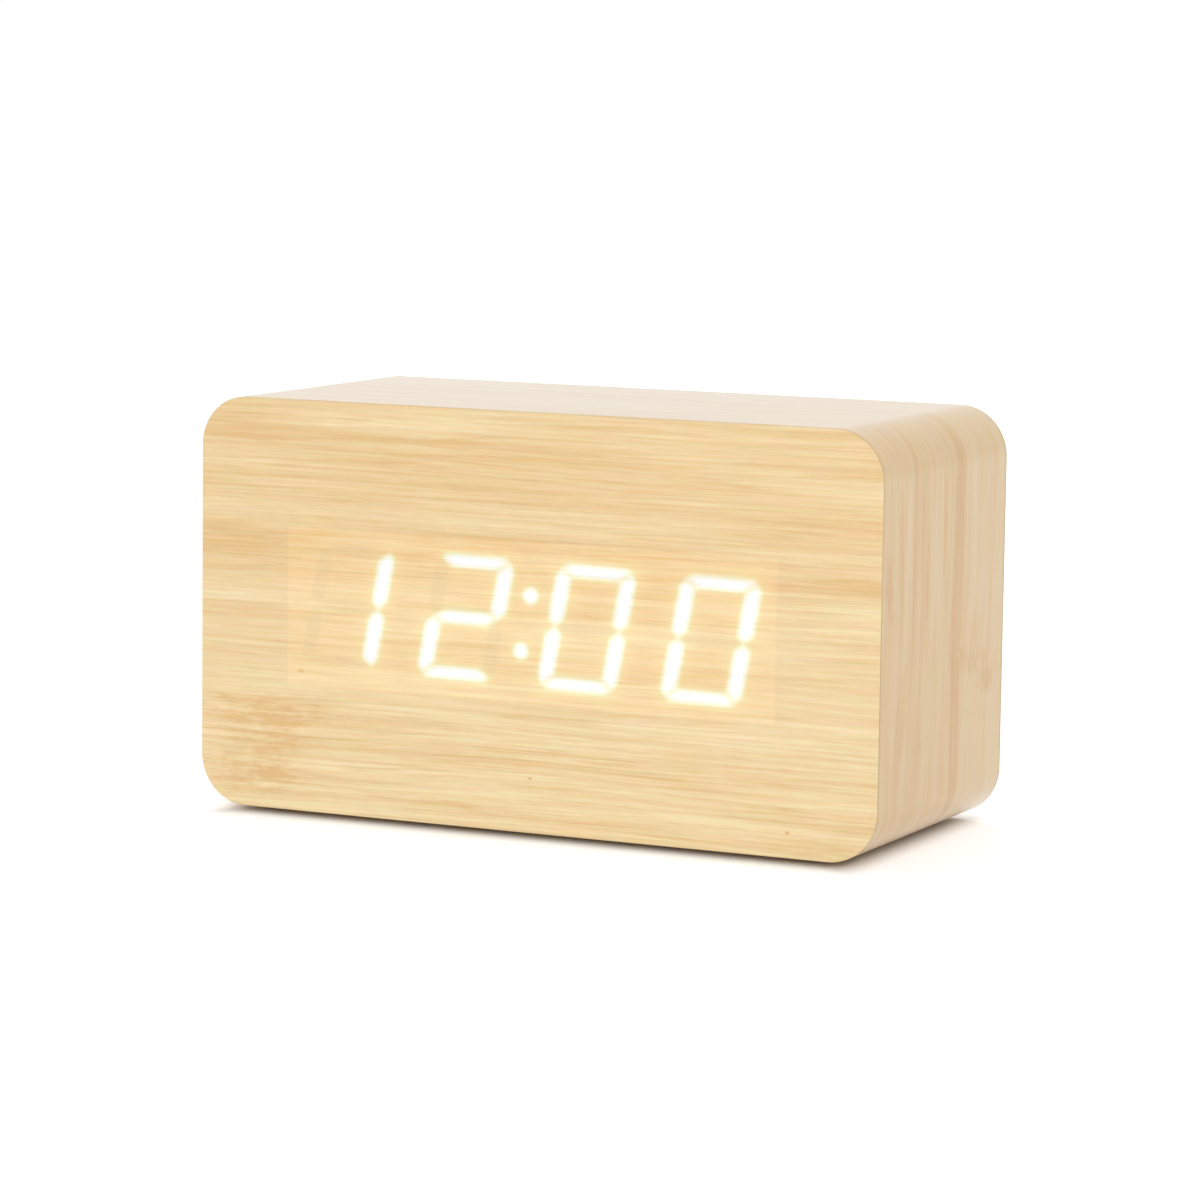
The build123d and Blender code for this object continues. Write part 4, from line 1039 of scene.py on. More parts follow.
# ------------------------------------------------------------------ wooden case
@dataclass
class WoodenCase:
    """Fibreboard block with its three sheets of veneer and its feet."""

    title: str = "case"
    body: str = "clock"
    corner_radius: float = 8.5
    opening_radius: float = 6.0
    opening_gap: float = 0.3          # between the veneer and the rear cover
    arris: float = 0.18               # sanded edge of the veneer
    corner_steps: int = 24
    grid: float = 0.4                 # mesh over the display
    grid_margin: Point = (7.0, 5.5)   # grid beyond the display's window
    seam_x: float = 24.0
    seam: float = 0.15
    smooth_below: float = 30.0        # degrees up to which an edge is shaded smooth
    outline: RoundedOutline = field(init=False)
    window_centre: Point = field(init=False)  # X and Z, mm
    window_reach: Point = field(init=False)   # half extents, mm

    def build(self) -> list[bpy.types.Object]:
        """Builds and dresses the case.

        Returns:
            The front sheet, the wrapped sheet, the back frame, the core and the feet.
        """
        low, high = span_of("front_veneer")
        size = high - low
        self.outline = RoundedOutline(size[0], size[2], self.corner_radius, (low[2] + high[2]) / 2)
        film_low, film_high = span_of("diffuser_film")
        self.window_centre = ((film_low[0] + film_high[0]) / 2, (film_low[2] + film_high[2]) / 2)
        self.window_reach = ((film_high[0] - film_low[0]) / 2, (film_high[2] - film_low[2]) / 2)
        return [self.front_veneer(low[1], high[1]), self.wrap_veneer(high[1] - low[1]),
                self.back_veneer(), dress_node("wood_core", FIBREBOARD),
                dress_node("foot_pads", FOOT_RUBBER)]

    def front_veneer(self, front: float, back: float) -> bpy.types.Object:
        """Makes the front sheet with a fine grid over the display.

        Args:
            front: Y of its face, mm.
            back: Y of its glued side, mm.

        Returns:
            The sheet.
        """
        reach = [r + m for r, m in zip(self.window_reach, self.grid_margin)]
        xs = np.linspace(-reach[0], reach[0], round(2 * reach[0] / self.grid) + 1) + self.window_centre[0]
        zs = np.linspace(-reach[1], reach[1], round(2 * reach[1] / self.grid) + 1) + self.window_centre[1]
        vertices = [(x, front, z) for z in zs for x in xs]
        faces = grid_faces(len(xs), len(zs))
        face_outline = self.rim(self.outline.inset(self.arris), xs, zs)
        rings = [(face_outline, front), (self.rim(self.outline, xs, zs), front + self.arris),
                 (self.rim(self.outline, xs, zs), back)]
        starts = []
        for points, y in rings:
            starts.append(len(vertices))
            vertices += [(x, y, z) for x, z in points]
        count = len(face_outline)
        faces += self.surround(grid_border(len(xs), len(zs)), starts[0], count)
        for first, second in zip(starts, starts[1:]):
            faces += ring_faces(first, second, count)
        faces.append(tuple(starts[-1] + i for i in range(count)))
        piece = mesh_piece("front_veneer_face", vertices, faces, self.body, self.smooth_below)
        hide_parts("front_veneer")
        self.mark_strokes(piece.data)
        dress(piece, self.front_finish().material(), shared(CUT_VENEER))
        dress_sides(piece)
        return piece

    def rim(self, outline: RoundedOutline, xs: np.ndarray, zs: np.ndarray) -> list[Point]:
        """Points on an outline that face a grid's border, with rounded corners between.

        Args:
            outline: the outline to follow.
            xs: X of the grid's columns.
            zs: Z of the grid's rows.

        Returns:
            Points anticlockwise: lower side, corner, right side, and so on.
        """
        half_w, half_h = outline.width / 2, outline.height / 2
        low, high = outline.middle_z - half_h, outline.middle_z + half_h
        points = [(x, low) for x in xs]
        points += outline.corner(1, -1, self.corner_steps)[::-1] + [(half_w, z) for z in zs]
        points += outline.corner(1, 1, self.corner_steps) + [(x, high) for x in xs[::-1]]
        points += outline.corner(-1, 1, self.corner_steps)[::-1] + [(-half_w, z) for z in zs[::-1]]
        return points + outline.corner(-1, -1, self.corner_steps)

    def surround(self, border: list[int], start: int, count: int) -> list[tuple[int, ...]]:
        """Faces between a grid's border and the outline round it.

        Args:
            border: vertex numbers round the grid.
            start: first vertex number of the outline.
            count: vertices in the outline.

        Returns:
            Quads beside the grid's sides, and a fan of triangles in each corner.
        """
        faces, at = [], start
        turn_points = [i for i in range(len(border)) if self.is_turn(border, i)]
        for here, there in zip(turn_points, turn_points[1:] + [len(border)]):
            for i in range(here, there):
                inner, after = border[i], border[(i + 1) % len(border)]
                faces.append((inner, after, at + 1, at))
                at += 1
            corner = border[there % len(border)]
            for _ in range(self.corner_steps + 2):
                after = start + (at + 1 - start) % count
                faces.append((corner, after, at))
                at = after
        return faces

    @staticmethod
    def is_turn(border: list[int], i: int) -> bool:
        """Whether the border of a grid turns at its i-th vertex."""
        here, before, after = border[i], border[i - 1], border[(i + 1) % len(border)]
        return here - before != after - here

    def mark_strokes(self, mesh: bpy.types.Mesh) -> None:
        """Stores how far each vertex lies from the lit and the unlit strokes, in millimetres.

        Args:
            mesh: mesh of the front sheet, which gets two attributes.
        """
        strokes = SevenSegments(self.window_centre)
        places = np.zeros(len(mesh.vertices) * 3, np.float32)
        mesh.vertices.foreach_get("co", places)
        points = places.reshape(-1, 3)[:, (0, 2)].astype(float) / MM
        for name, lit in (("lit_distance", True), ("unlit_distance", False)):
            attribute = mesh.attributes.new(name, "FLOAT", "POINT")
            attribute.data.foreach_set("value", strokes.distance(points, lit).astype(np.float32))

    def front_finish(self) -> LitBambooVeneer:
        """Lays out the front sheet: three strips, a node scar in the lower left corner, and a band of painted
        light along the lower edge.

        Returns:
            The finish.
        """
        return LitBambooVeneer(
            "bamboo_veneer_lit", GrainSource.FRONT,
            strips=(Strip(-10.0, 5.5, 1.35), Strip(21.0, 3.5, 1.0), Strip(43.4, -1.4, 1.15)),
            knuckles=(Knuckle((-50.0, 17.8), (20.0, 3.4), depth=30.0),
                      Knuckle((-49.5, 11.5), (10.5, 8.0), depth=32.0),
                      Knuckle((-54.0, 6.0), (13.0, 5.5), depth=22.0)),
            streaks=(Streak((0.0, 47.0), (140.0, 5.0), -6.0), Streak((-50.0, 58.0), (60.0, 18.0), -4.0),
                     # The lighter band at 2 mm, all along the lower edge, is painted light that offsets the
                     # shade near the floor.
                     Streak((0.0, 2.0), (90.0, 4.0), 8.0), Streak((-48.0, 12.0), (22.0, 12.0), -6.0),
                     Streak((-25.0, 68.0), (32.0, 2.6), 10.0), Streak((-12.0, 65.0), (34.0, 1.1), -16.0),
                     Streak((8.0, 63.5), (24.0, 1.3), -8.0), Streak((-60.0, 45.6), (24.0, 2.6), -7.0),
                     Streak((64.0, 45.4), (28.0, 2.2), -14.0), Streak((46.0, 62.0), (14.0, 1.2), 8.0),
                     Streak((-5.0, 22.3), (60.0, 0.7), -8.0), Streak((20.0, 5.5), (50.0, 1.4), 8.0),
                     Streak((-43.0, 24.7), (0.8, 0.4), -45.0), Streak((0.5, 9.9), (0.6, 0.4), -45.0),
                     Streak((47.0, 5.0), (0.6, 0.4), -40.0), Streak((54.0, 31.0), (18.0, 12.0), 5.0)),
            seed=2.0, window_centre=self.window_centre, window_reach=self.window_reach)

    def wrap_veneer(self, thick: float) -> bpy.types.Object:
        """Makes the sheet that goes once round the case, with its seam underneath.

        Args:
            thick: its thickness, mm.

        Returns:
            The sheet.
        """
        low, high = span_of("wrap_veneer")
        outer, inner = self.strip_path(self.outline), self.strip_path(self.outline.inset(thick))
        girth = np.concatenate([[0.0], np.cumsum(np.hypot(*np.diff(np.array(outer), axis=0).T))])
        vertices = [(x, y, z) for out, back in zip(outer, inner)
                    for (x, z), y in ((out, low[1]), (out, high[1]), (back, high[1]), (back, low[1]))]
        last = 4 * (len(outer) - 1)
        faces = [face for start in range(0, last, 4) for face in ring_faces(start, start + 4, 4)]
        faces += [(0, 1, 2, 3), (last + 3, last + 2, last + 1, last)]
        piece = mesh_piece("wrap_veneer_sheet", vertices, faces, self.body)
        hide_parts("wrap_veneer")
        grain = piece.data.uv_layers.new(name="grain")
        for loop in piece.data.loops:
            place = piece.data.vertices[loop.vertex_index].co
            grain.data[loop.index].uv = (girth[loop.vertex_index // 4] * MM, place.y)
        return dress(piece, self.wrap_finish(girth[-1]).material())

    def strip_path(self, outline: RoundedOutline) -> list[Point]:
        """Runs round an outline from one side of the seam to the other.

        Args:
            outline: the outline to follow.

        Returns:
            X and Z of the points along the way.
        """
        bottom = outline.middle_z - outline.height / 2
        ends = [(self.seam_x + self.seam / 2, bottom), (self.seam_x - self.seam / 2, bottom)]
        return [ends[0], *outline.loop(self.corner_steps), ends[1]]

    def wrap_finish(self, girth: float) -> BambooVeneer:
        """The wrapped sheet: two strips along the depth, with a node scar on the right side.

        Args:
            girth: length of the sheet round the case, mm.

        Returns:
            The finish.
        """
        half_w = self.outline.width / 2
        radius = self.corner_radius
        right = half_w - radius - self.seam_x + math.pi / 2 * radius + self.outline.height / 2 - radius
        return BambooVeneer(
            "bamboo_veneer_wrapped", GrainSource.WRAPPED,
            strips=(Strip(-40.0, 0.5), Strip(8.0, 5.0, 0.8)), run_out=0.04, pivot=right,
            dark="E4B87B", middle="EECC99", light="F1DCB4",
            grain=(((60.0, 5.0), 1.0, 34.0), ((28.0, 1.8), 1.0, 24.0), ((14.0, 0.6), 0.0, 10.0)),
            vessel_tone=5.0, wave=3.4, wave_period=(60.0, 20.0),
            drift=(((20.0, 1.4), (0.21, -0.13, 0.0)), ((24.0, 2.2), (0.0, 0.05, -0.40))),
            knuckles=(Knuckle((right - 7.0, 16.5), (3.4, 13.0), lean=10.0, depth=26.0),
                      Knuckle((right - 1.5, 14.5), (5.0, 5.5), depth=14.0),
                      Knuckle((right - 10.5, 21.0), (2.6, 6.0), depth=22.0),
                      Knuckle((right + 9.0, -24.5), (8.0, 2.6), lean=-14.0, depth=24.0),
                      Knuckle((girth * 0.62, 22.0), (5.0, 12.0), depth=12.0)),
            streaks=tuple(Streak((right + rise, depth - 27.5), (reach, width), tone)
                          for rise, depth, reach, width, tone in (
                (13.0, 7.4, 18.0, 1.3, -12.0), (-16.0, 9.8, 17.0, 2.2, -11.0),
                (9.0, 13.1, 14.0, 0.9, -12.0), (18.0, 16.8, 12.0, 1.0, -6.0),
                (9.0, 19.4, 12.0, 1.1, -9.0), (-19.0, 18.4, 9.0, 1.4, -10.0),
                (17.0, 27.0, 14.0, 1.1, -11.0), (-1.0, 23.6, 12.0, 1.0, -6.0),
                (14.0, 33.2, 34.0, 3.2, -15.0), (-20.0, 33.6, 26.0, 3.0, -14.0),
                (-12.0, 2.0, 20.0, 1.8, -6.0), (0.0, 15.6, 20.0, 1.6, 6.0),
                (12.0, 22.0, 16.0, 1.4, 5.0), (20.0, 11.0, 16.0, 1.4, 5.0),
                (-4.0, 28.9, 16.0, 1.2, 4.0), (12.0, 39.0, 26.0, 2.2, 4.0),
                (-22.0, 41.0, 14.0, 4.0, 3.0))),
            seed=14.0)

    def back_veneer(self) -> bpy.types.Object:
        """Makes the frame of veneer round the opening in the back.

        Returns:
            The frame.
        """
        low, high = span_of("back_veneer")
        cover_low, cover_high = span_of("rear_cover")
        opening = RoundedOutline(cover_high[0] - cover_low[0] + 2 * self.opening_gap,
                                 cover_high[2] - cover_low[2] + 2 * self.opening_gap,
                                 self.opening_radius, self.outline.middle_z)
        loops = [(self.outline, low[1]), (self.outline, high[1] - self.arris),
                 (self.outline.inset(self.arris), high[1]), (opening.inset(-self.arris), high[1]),
                 (opening, high[1] - self.arris), (opening, low[1])]
        vertices = [(x, y, z) for outline, y in loops for x, z in outline.loop(self.corner_steps)]
        count = len(vertices) // len(loops)
        faces = []
        for n in range(len(loops)):
            faces += ring_faces(n * count, (n + 1) % len(loops) * count, count)
        piece = mesh_piece("back_veneer_frame", vertices, faces, self.body, self.smooth_below)
        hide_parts("back_veneer")
        finish = BambooVeneer("bamboo_veneer_back", GrainSource.FRONT,
                              strips=(Strip(-10.0, 3.0), Strip(29.0, -2.0), Strip(52.0, 3.0)),
                              knuckles=(Knuckle((55.0, 60.0), (9.0, 8.0)),), seed=31.0)
        dress(piece, finish.material(), shared(CUT_VENEER))
        dress_sides(piece)
        return piece


# ------------------------------------------------------------------ screws by geometry nodes
@dataclass
class ScrewSet:
    """Pan-head screws with a cross recess, one at each place, all made by one node tree."""

    node: str                         # the CAD node that they stand for
    name: str
    head_radius: float
    head_height: float
    shank_radius: float
    way: Toward                       # end of Y that the heads look to
    title: str = "screws"
    finish: Finish = ZINC_PLATE
    slot: str = "screw_steel"
    body: str = "clock"
    sides: int = 28
    rings: int = 22                   # of the ball that domes the head
    dome: float = 1.22                # radius of that ball, as a share of the head's
    cross: Point = (1.5, 0.32)        # length and width of a groove, as shares of the head's radius
    sliver: float = 0.02              # mm, width of the slivers that the cuts leave, which are merged
    smooth_below: float = 35.0        # degrees up to which an edge is shaded smooth
    seed: int = 7

    def build(self) -> list[bpy.types.Object]:
        """Puts the screws in place of the CAD ones.

        Returns:
            The one piece that holds them all.
        """
        mesh = bpy.data.meshes.new(self.name)
        mesh.from_pydata([tuple(c * MM for c in p) for p in self.places()], [], [])
        piece = bpy.data.objects.new(self.name, mesh)
        bpy.context.scene.collection.objects.link(piece)
        low, high = span_of(self.node)
        length = high[1] - low[1] - self.head_height
        tree = self.tree()
        modifier = piece.modifiers.new("screws", "NODES")
        modifier.node_group = tree
        values = {"Head Radius": self.head_radius * MM, "Head Height": self.head_height * MM,
                  "Shank Radius": self.shank_radius * MM, "Shank Length": length * MM,
                  "Lean": -self.way * math.pi / 2, "Seed": self.seed, "Steel": shared(self.finish)}
        for item in tree.interface.items_tree:
            if item.item_type == "SOCKET" and item.in_out == "INPUT" and item.name in values:
                modifier[item.identifier] = values[item.name]
        made = bpy.data.meshes.new_from_object(
            piece.evaluated_get(bpy.context.evaluated_depsgraph_get()))
        piece.modifiers.remove(modifier)
        made.set_sharp_from_angle(angle=math.radians(self.smooth_below))
        piece.data = made
        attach(piece, self.body)
        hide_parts(self.node)
        return [piece]

    def places(self) -> list[tuple[float, float, float]]:
        """Finds the seats of the heads, in the four corners of the CAD screws' box.

        Returns:
            X, Y and Z of each seat, mm.
        """
        low, high = span_of(self.node)
        seat = high[1] - self.head_height if self.way > 0 else low[1] + self.head_height
        reach = self.head_radius
        return [(x, seat, z) for x in (low[0] + reach, high[0] - reach)
                for z in (low[2] + reach, high[2] - reach)]

    def tree(self) -> bpy.types.NodeTree:
        """Builds the node tree: one screw, instanced on the points, each turned by chance.

        Returns:
            The tree, with an input for each of the screw's sizes.
        """
        tree = bpy.data.node_groups.new(self.name + "_nodes", "GeometryNodeTree")
        for name, kind in (("Geometry", "Geometry"), ("Head Radius", "Float"), ("Head Height", "Float"),
                           ("Shank Radius", "Float"), ("Shank Length", "Float"), ("Lean", "Float"),
                           ("Seed", "Int"), ("Steel", "Material")):
            tree.interface.new_socket(name, in_out="INPUT", socket_type="NodeSocket" + kind)
        tree.interface.new_socket("Geometry", in_out="OUTPUT", socket_type="NodeSocketGeometry")
        given = add_node(tree, "NodeGroupInput", out=None)
        radius, height = given.outputs["Head Radius"], given.outputs["Head Height"]
        screw = self.head(tree, radius, height)
        shank = add_node(tree, "GeometryNodeMeshCylinder", {
            "Vertices": self.sides, "Radius": given.outputs["Shank Radius"],
            "Depth": given.outputs["Shank Length"]}, out="Mesh")
        drop = add_node(tree, "ShaderNodeMath", {0: given.outputs["Shank Length"], 1: -0.5},
                        operation="MULTIPLY")
        shank = add_node(tree, "GeometryNodeTransform", {
            "Geometry": shank, "Translation": add_node(tree, "ShaderNodeCombineXYZ", {2: drop})})
        screw = add_node(tree, "GeometryNodeJoinGeometry", {0: screw})
        tree.links.new(shank, screw.node.inputs[0])
        upright = add_node(tree, "GeometryNodeTransform", {
            "Geometry": screw,
            "Rotation": add_node(tree, "ShaderNodeCombineXYZ", {0: given.outputs["Lean"]})})
        turn = add_node(tree, "FunctionNodeRandomValue", {2: 0.0, 3: math.pi, "Seed": given.outputs["Seed"]},
                        out=1, data_type="FLOAT")
        turned = add_node(tree, "ShaderNodeCombineXYZ", {1: turn})
        placed = add_node(tree, "GeometryNodeInstanceOnPoints", {
            "Points": given.outputs["Geometry"], "Instance": upright, "Rotation": turned})
        real = add_node(tree, "GeometryNodeRealizeInstances", {0: placed})
        steel = add_node(tree, "GeometryNodeSetMaterial", {0: real, "Material": given.outputs["Steel"]})
        add_node(tree, "NodeGroupOutput", {0: steel}, out=None)
        return tree

    def head(self, tree: bpy.types.NodeTree, radius: Socket, height: Socket) -> Socket:
        """Domed head with a cross recess, its seat at the origin and its top towards +Z.

        Args:
            tree: the node tree.
            radius: the head's radius.
            height: the head's height.

        Returns:
            The head's geometry.
        """
        blank = add_node(tree, "GeometryNodeMeshCylinder", {"Vertices": self.sides, "Radius": radius,
                                                            "Depth": height}, out="Mesh")
        half = add_node(tree, "ShaderNodeMath", {0: height, 1: 0.5}, operation="MULTIPLY")
        blank = add_node(tree, "GeometryNodeTransform", {
            "Geometry": blank, "Translation": add_node(tree, "ShaderNodeCombineXYZ", {2: half})})
        ball_radius = add_node(tree, "ShaderNodeMath", {0: radius, 1: self.dome}, operation="MULTIPLY")
        ball = add_node(tree, "GeometryNodeMeshUVSphere", {"Segments": self.sides, "Rings": self.rings,
                                                           "Radius": ball_radius}, out="Mesh")
        sink = add_node(tree, "ShaderNodeMath", {0: height, 1: ball_radius}, operation="SUBTRACT")
        ball = add_node(tree, "GeometryNodeTransform", {
            "Geometry": ball, "Translation": add_node(tree, "ShaderNodeCombineXYZ", {2: sink})})
        dome = add_node(tree, "GeometryNodeMeshBoolean", {0: blank}, operation="INTERSECT", solver="EXACT")
        tree.links.new(blank, dome.node.inputs[1])
        tree.links.new(ball, dome.node.inputs[1])
        wide = add_node(tree, "ShaderNodeMath", {0: radius, 1: self.cross[0]}, operation="MULTIPLY")
        thin = add_node(tree, "ShaderNodeMath", {0: radius, 1: self.cross[1]}, operation="MULTIPLY")
        cut = add_node(tree, "GeometryNodeMeshBoolean", {0: dome}, operation="DIFFERENCE", solver="EXACT")
        groove = add_node(tree, "GeometryNodeMeshCube", {
            "Size": add_node(tree, "ShaderNodeCombineXYZ", {0: wide, 1: thin, 2: thin})}, out="Mesh")
        on_edge = add_node(tree, "GeometryNodeTransform", {
            "Geometry": groove, "Rotation": (math.pi / 4, 0.0, 0.0)})
        for turn in (0.0, math.pi / 2):
            wing = add_node(tree, "GeometryNodeTransform", {
                "Geometry": on_edge, "Rotation": (0.0, 0.0, turn),
                "Translation": add_node(tree, "ShaderNodeCombineXYZ", {2: height})})
            tree.links.new(wing, cut.node.inputs[1])
        return add_node(tree, "GeometryNodeMergeByDistance", {"Geometry": cut,
                                                              "Distance": self.sliver * MM})


# ------------------------------------------------------------------ battery bay
@dataclass
class DryCell:
    """One dry cell: jacket shrunk over its edges, steel ends and a positive button."""

    node: str
    positive: Toward                  # end of X that the button looks to
    body: str = "clock"
    sides: int = 48
    button_radius: float = 1.9
    button: float = 1.0
    bare: float = 0.85                # share of the radius up to which the jacket leaves the ends bare

    def build(self, jacket: bpy.types.Material, ends: bpy.types.Material) -> bpy.types.Object:
        """Turns the cell's profile round its axis.

        Args:
            jacket: material of the jacket.
            ends: material of the steel ends.

        Returns:
            The cell.
        """
        low, high = span_of(self.node)
        radius = (high[2] - low[2]) / 2
        length = high[0] - low[0]
        axis_y, axis_z = (low[1] + high[1]) / 2, (low[2] + high[2]) / 2
        start = low[0] if self.positive > 0 else high[0]
        # Distance from the flat end and from the axis; the jacket ends at each rim.
        can = length - self.button
        profile = [(0.15, 0.0), (0.15, radius * 0.62), (0.0, radius * 0.68), (0.0, radius * 0.84),
                   (0.12, radius * 0.93), (0.45, radius * 0.99), (0.8, radius), (can - 0.8, radius),
                   (can - 0.45, radius * 0.99), (can - 0.1, radius * 0.93), (can, radius * 0.86),
                   (can - 0.25, radius * 0.8), (can - 0.25, self.button_radius * 1.25),
                   (can, self.button_radius), (length - 0.3, self.button_radius),
                   (length, self.button_radius - 0.35), (length, 0.0)]
        vertices, faces = [], []
        for depth, reach in profile:
            for i in range(self.sides):
                turn = 2 * math.pi * i / self.sides
                vertices.append((start + self.positive * depth, axis_y + reach * math.cos(turn),
                                 axis_z + reach * math.sin(turn)))
        for ring in range(len(profile) - 1):
            faces += ring_faces(ring * self.sides, (ring + 1) * self.sides, self.sides)
        piece = mesh_piece(self.node + "_jacketed", vertices, faces, self.body, smooth_below=50.0)
        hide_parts(self.node)
        dress(piece, jacket, ends)
        for polygon in piece.data.polygons:
            off = Vector(polygon.center) / MM - Vector((0.0, axis_y, axis_z))
            polygon.material_index = int(math.hypot(off.y, off.z) < radius * self.bare)
        return piece


@dataclass
class BatteryBay:
    """Three dry cells with their contacts, leads, foam and hinged door."""

    title: str = "battery bay"
    copper_band: float = 9.0          # mm of each jacket, from its positive end
    foam_edge: float = 0.3            # rounding of the foam pad
    foam_ease: float = 4.0            # times as far in as that, over which its face comes up
    foam_grid: tuple[int, int] = (36, 28)
    cells: tuple[tuple[str, Toward], ...] = (
        ("cell_1", Toward.MINUS), ("cell_2", Toward.PLUS), ("cell_3", Toward.MINUS))
    finishes: tuple[tuple[str, Finish], ...] = (
        ("contact_negative", NICKEL_STRIP), ("contact_bridge_left", NICKEL_STRIP),
        ("contact_bridge_right", NICKEL_STRIP), ("contact_positive", NICKEL_STRIP),
        ("lead_black", BLACK_PVC), ("lead_red", RED_PVC), ("battery_door", TEXTURED_ABS))

    def build(self) -> list[bpy.types.Object]:
        """Builds and dresses the battery bay.

        Returns:
            The cells, the nodes that keep their shape, and the foam pad.
        """
        low, high = span_of("cell_1")
        pieces = []
        for node, positive in self.cells:
            end = high[0] if positive is Toward.PLUS else low[0]
            edges = sorted((end, end - positive * self.copper_band))
            jacket = CellJacket(f"cell_jacket_{node[-1]}", "2B2C30", "33343A", roughness=0.3, metallic=0.35,
                                grain=0.4, relief=0.004, cloud=9.0, band_edges=(edges[0], edges[1]))
            pieces.append(DryCell(node, positive).build(shared(jacket), shared(DRAWN_CAN)))
        pieces += [dress_node(node, finish) for node, finish in self.finishes]
        return pieces + [self.foam_pad()]

    def foam_pad(self) -> bpy.types.Object:
        """Makes the foam strip on the door, slightly crowned, with soft edges.

        Returns:
            The pad.
        """
        low, high = span_of("door_foam_pad")
        across, tall = self.foam_grid
        vertices = []
        for side, y in ((1, high[1]), (-1, low[1])):
            for r in range(tall + 1):
                for c in range(across + 1):
                    u, v = c / across, r / tall
                    near = min(u, 1 - u) * (high[0] - low[0]), min(v, 1 - v) * (high[2] - low[2])
                    ease = [max(0.0, 1 - n / (self.foam_ease * self.foam_edge)) ** 2 for n in near]
                    drop = min(1.0, ease[0] + ease[1]) * self.foam_edge if side < 0 else 0.0
                    vertices.append((low[0] + u * (high[0] - low[0]), y + drop,
                                     low[2] + v * (high[2] - low[2])))
        sheet = (across + 1) * (tall + 1)
        faces = grid_faces(across + 1, tall + 1) + grid_faces(across + 1, tall + 1, sheet)
        rim = grid_border(across + 1, tall + 1)
        faces += [(a, b, sheet + b, sheet + a) for a, b in zip(rim, rim[1:] + rim[:1])]
        piece = mesh_piece("door_foam", vertices, faces, "battery_door", smooth_below=60.0)
        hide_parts("door_foam_pad")
        dress(piece, shared(FOAM))
        return piece


# ------------------------------------------------------------------ display, cover and boards
@dataclass
class Dressing:
    """CAD nodes that keep their shape and get a finish."""

    title: str
    finishes: dict[str, Finish]

    def build(self) -> list[bpy.types.Object]:
        """Gives each node its material, and returns the nodes."""
        return [dress_node(node, finish) for node, finish in self.finishes.items()]


BOARD = CircuitBoard("fr4_green_resist", "0E4A24", "125A2C", roughness=0.28, grain=0.6, relief=0.004)

DISPLAY = Dressing("display", {
    "display_reflector": WHITE_STYRENE, "diffuser_film": DIFFUSER_FILM, "display_board": BOARD,
    "led_chips": LED_PACKAGE})
COVER = Dressing("rear cover", {"rear_cover": TEXTURED_ABS})
CONTROL = Dressing("control board", {
    "control_board": BOARD, "switch_bodies": COMPONENT_EPOXY, "plunger_set": ACETAL, "plunger_up": ACETAL,
    "plunger_down": ACETAL, "power_jack": SMOOTH_ABS, "jack_pin": NICKEL_STRIP, "buzzer": COMPONENT_EPOXY,
    "microphone": DRAWN_CAN, "coin_cell": DRAWN_CAN, "coin_cell_clip": NICKEL_STRIP,
    "controller_chip": COMPONENT_EPOXY, "clock_crystal": DRAWN_CAN, "capacitor": DRAWN_CAN,
    "chip_resistors": RESISTOR_GLAZE, "ribbon_cable": RIBBON_PVC})


@dataclass
class Buttons:
    """Three round buttons, each with a painted mark: a dot, and triangles up and down."""

    title: str = "buttons"
    nodes: tuple[str, ...] = ("button_set", "button_up", "button_down")
    mark_depth: float = 0.3

    def build(self) -> list[bpy.types.Object]:
        """Gives each button black plastic with white in its mark.

        Returns:
            The buttons.
        """
        pieces = []
        for node in self.nodes:
            low, high = span_of(node)
            finish = MarkedAbs("moulded_abs_" + node, SMOOTH_ABS.colour, SMOOTH_ABS.other,
                               roughness=SMOOTH_ABS.roughness, grain=SMOOTH_ABS.grain,
                               relief=SMOOTH_ABS.relief, cloud=SMOOTH_ABS.cloud,
                               centre=((low[0] + high[0]) / 2, (low[2] + high[2]) / 2),
                               floor=high[1] - self.mark_depth)
            pieces.append(dress_node(node, finish))
        return pieces


# ------------------------------------------------------------------ studio
@dataclass
class Lamp:
    """One soft lamp that looks at the clock."""

    name: str
    place: tuple[float, float, float]  # metres
    size: float                        # metres
    watts: float
    mirrored: bool = False             # whether gloss shows it

    def build(self, target: Vector) -> None:
        """Puts the lamp in its place.

        Args:
            target: the point that it looks at.
        """
        data = bpy.data.lights.new(self.name, "AREA")
        data.shape, data.size, data.energy = "DISK", self.size, self.watts
        lamp = bpy.data.objects.new(self.name, data)
        lamp.location = self.place
        lamp.visible_glossy = self.mirrored
        lamp.rotation_euler = (target - Vector(self.place)).to_track_quat("-Z", "Y").to_euler()
        bpy.context.scene.collection.objects.link(lamp)


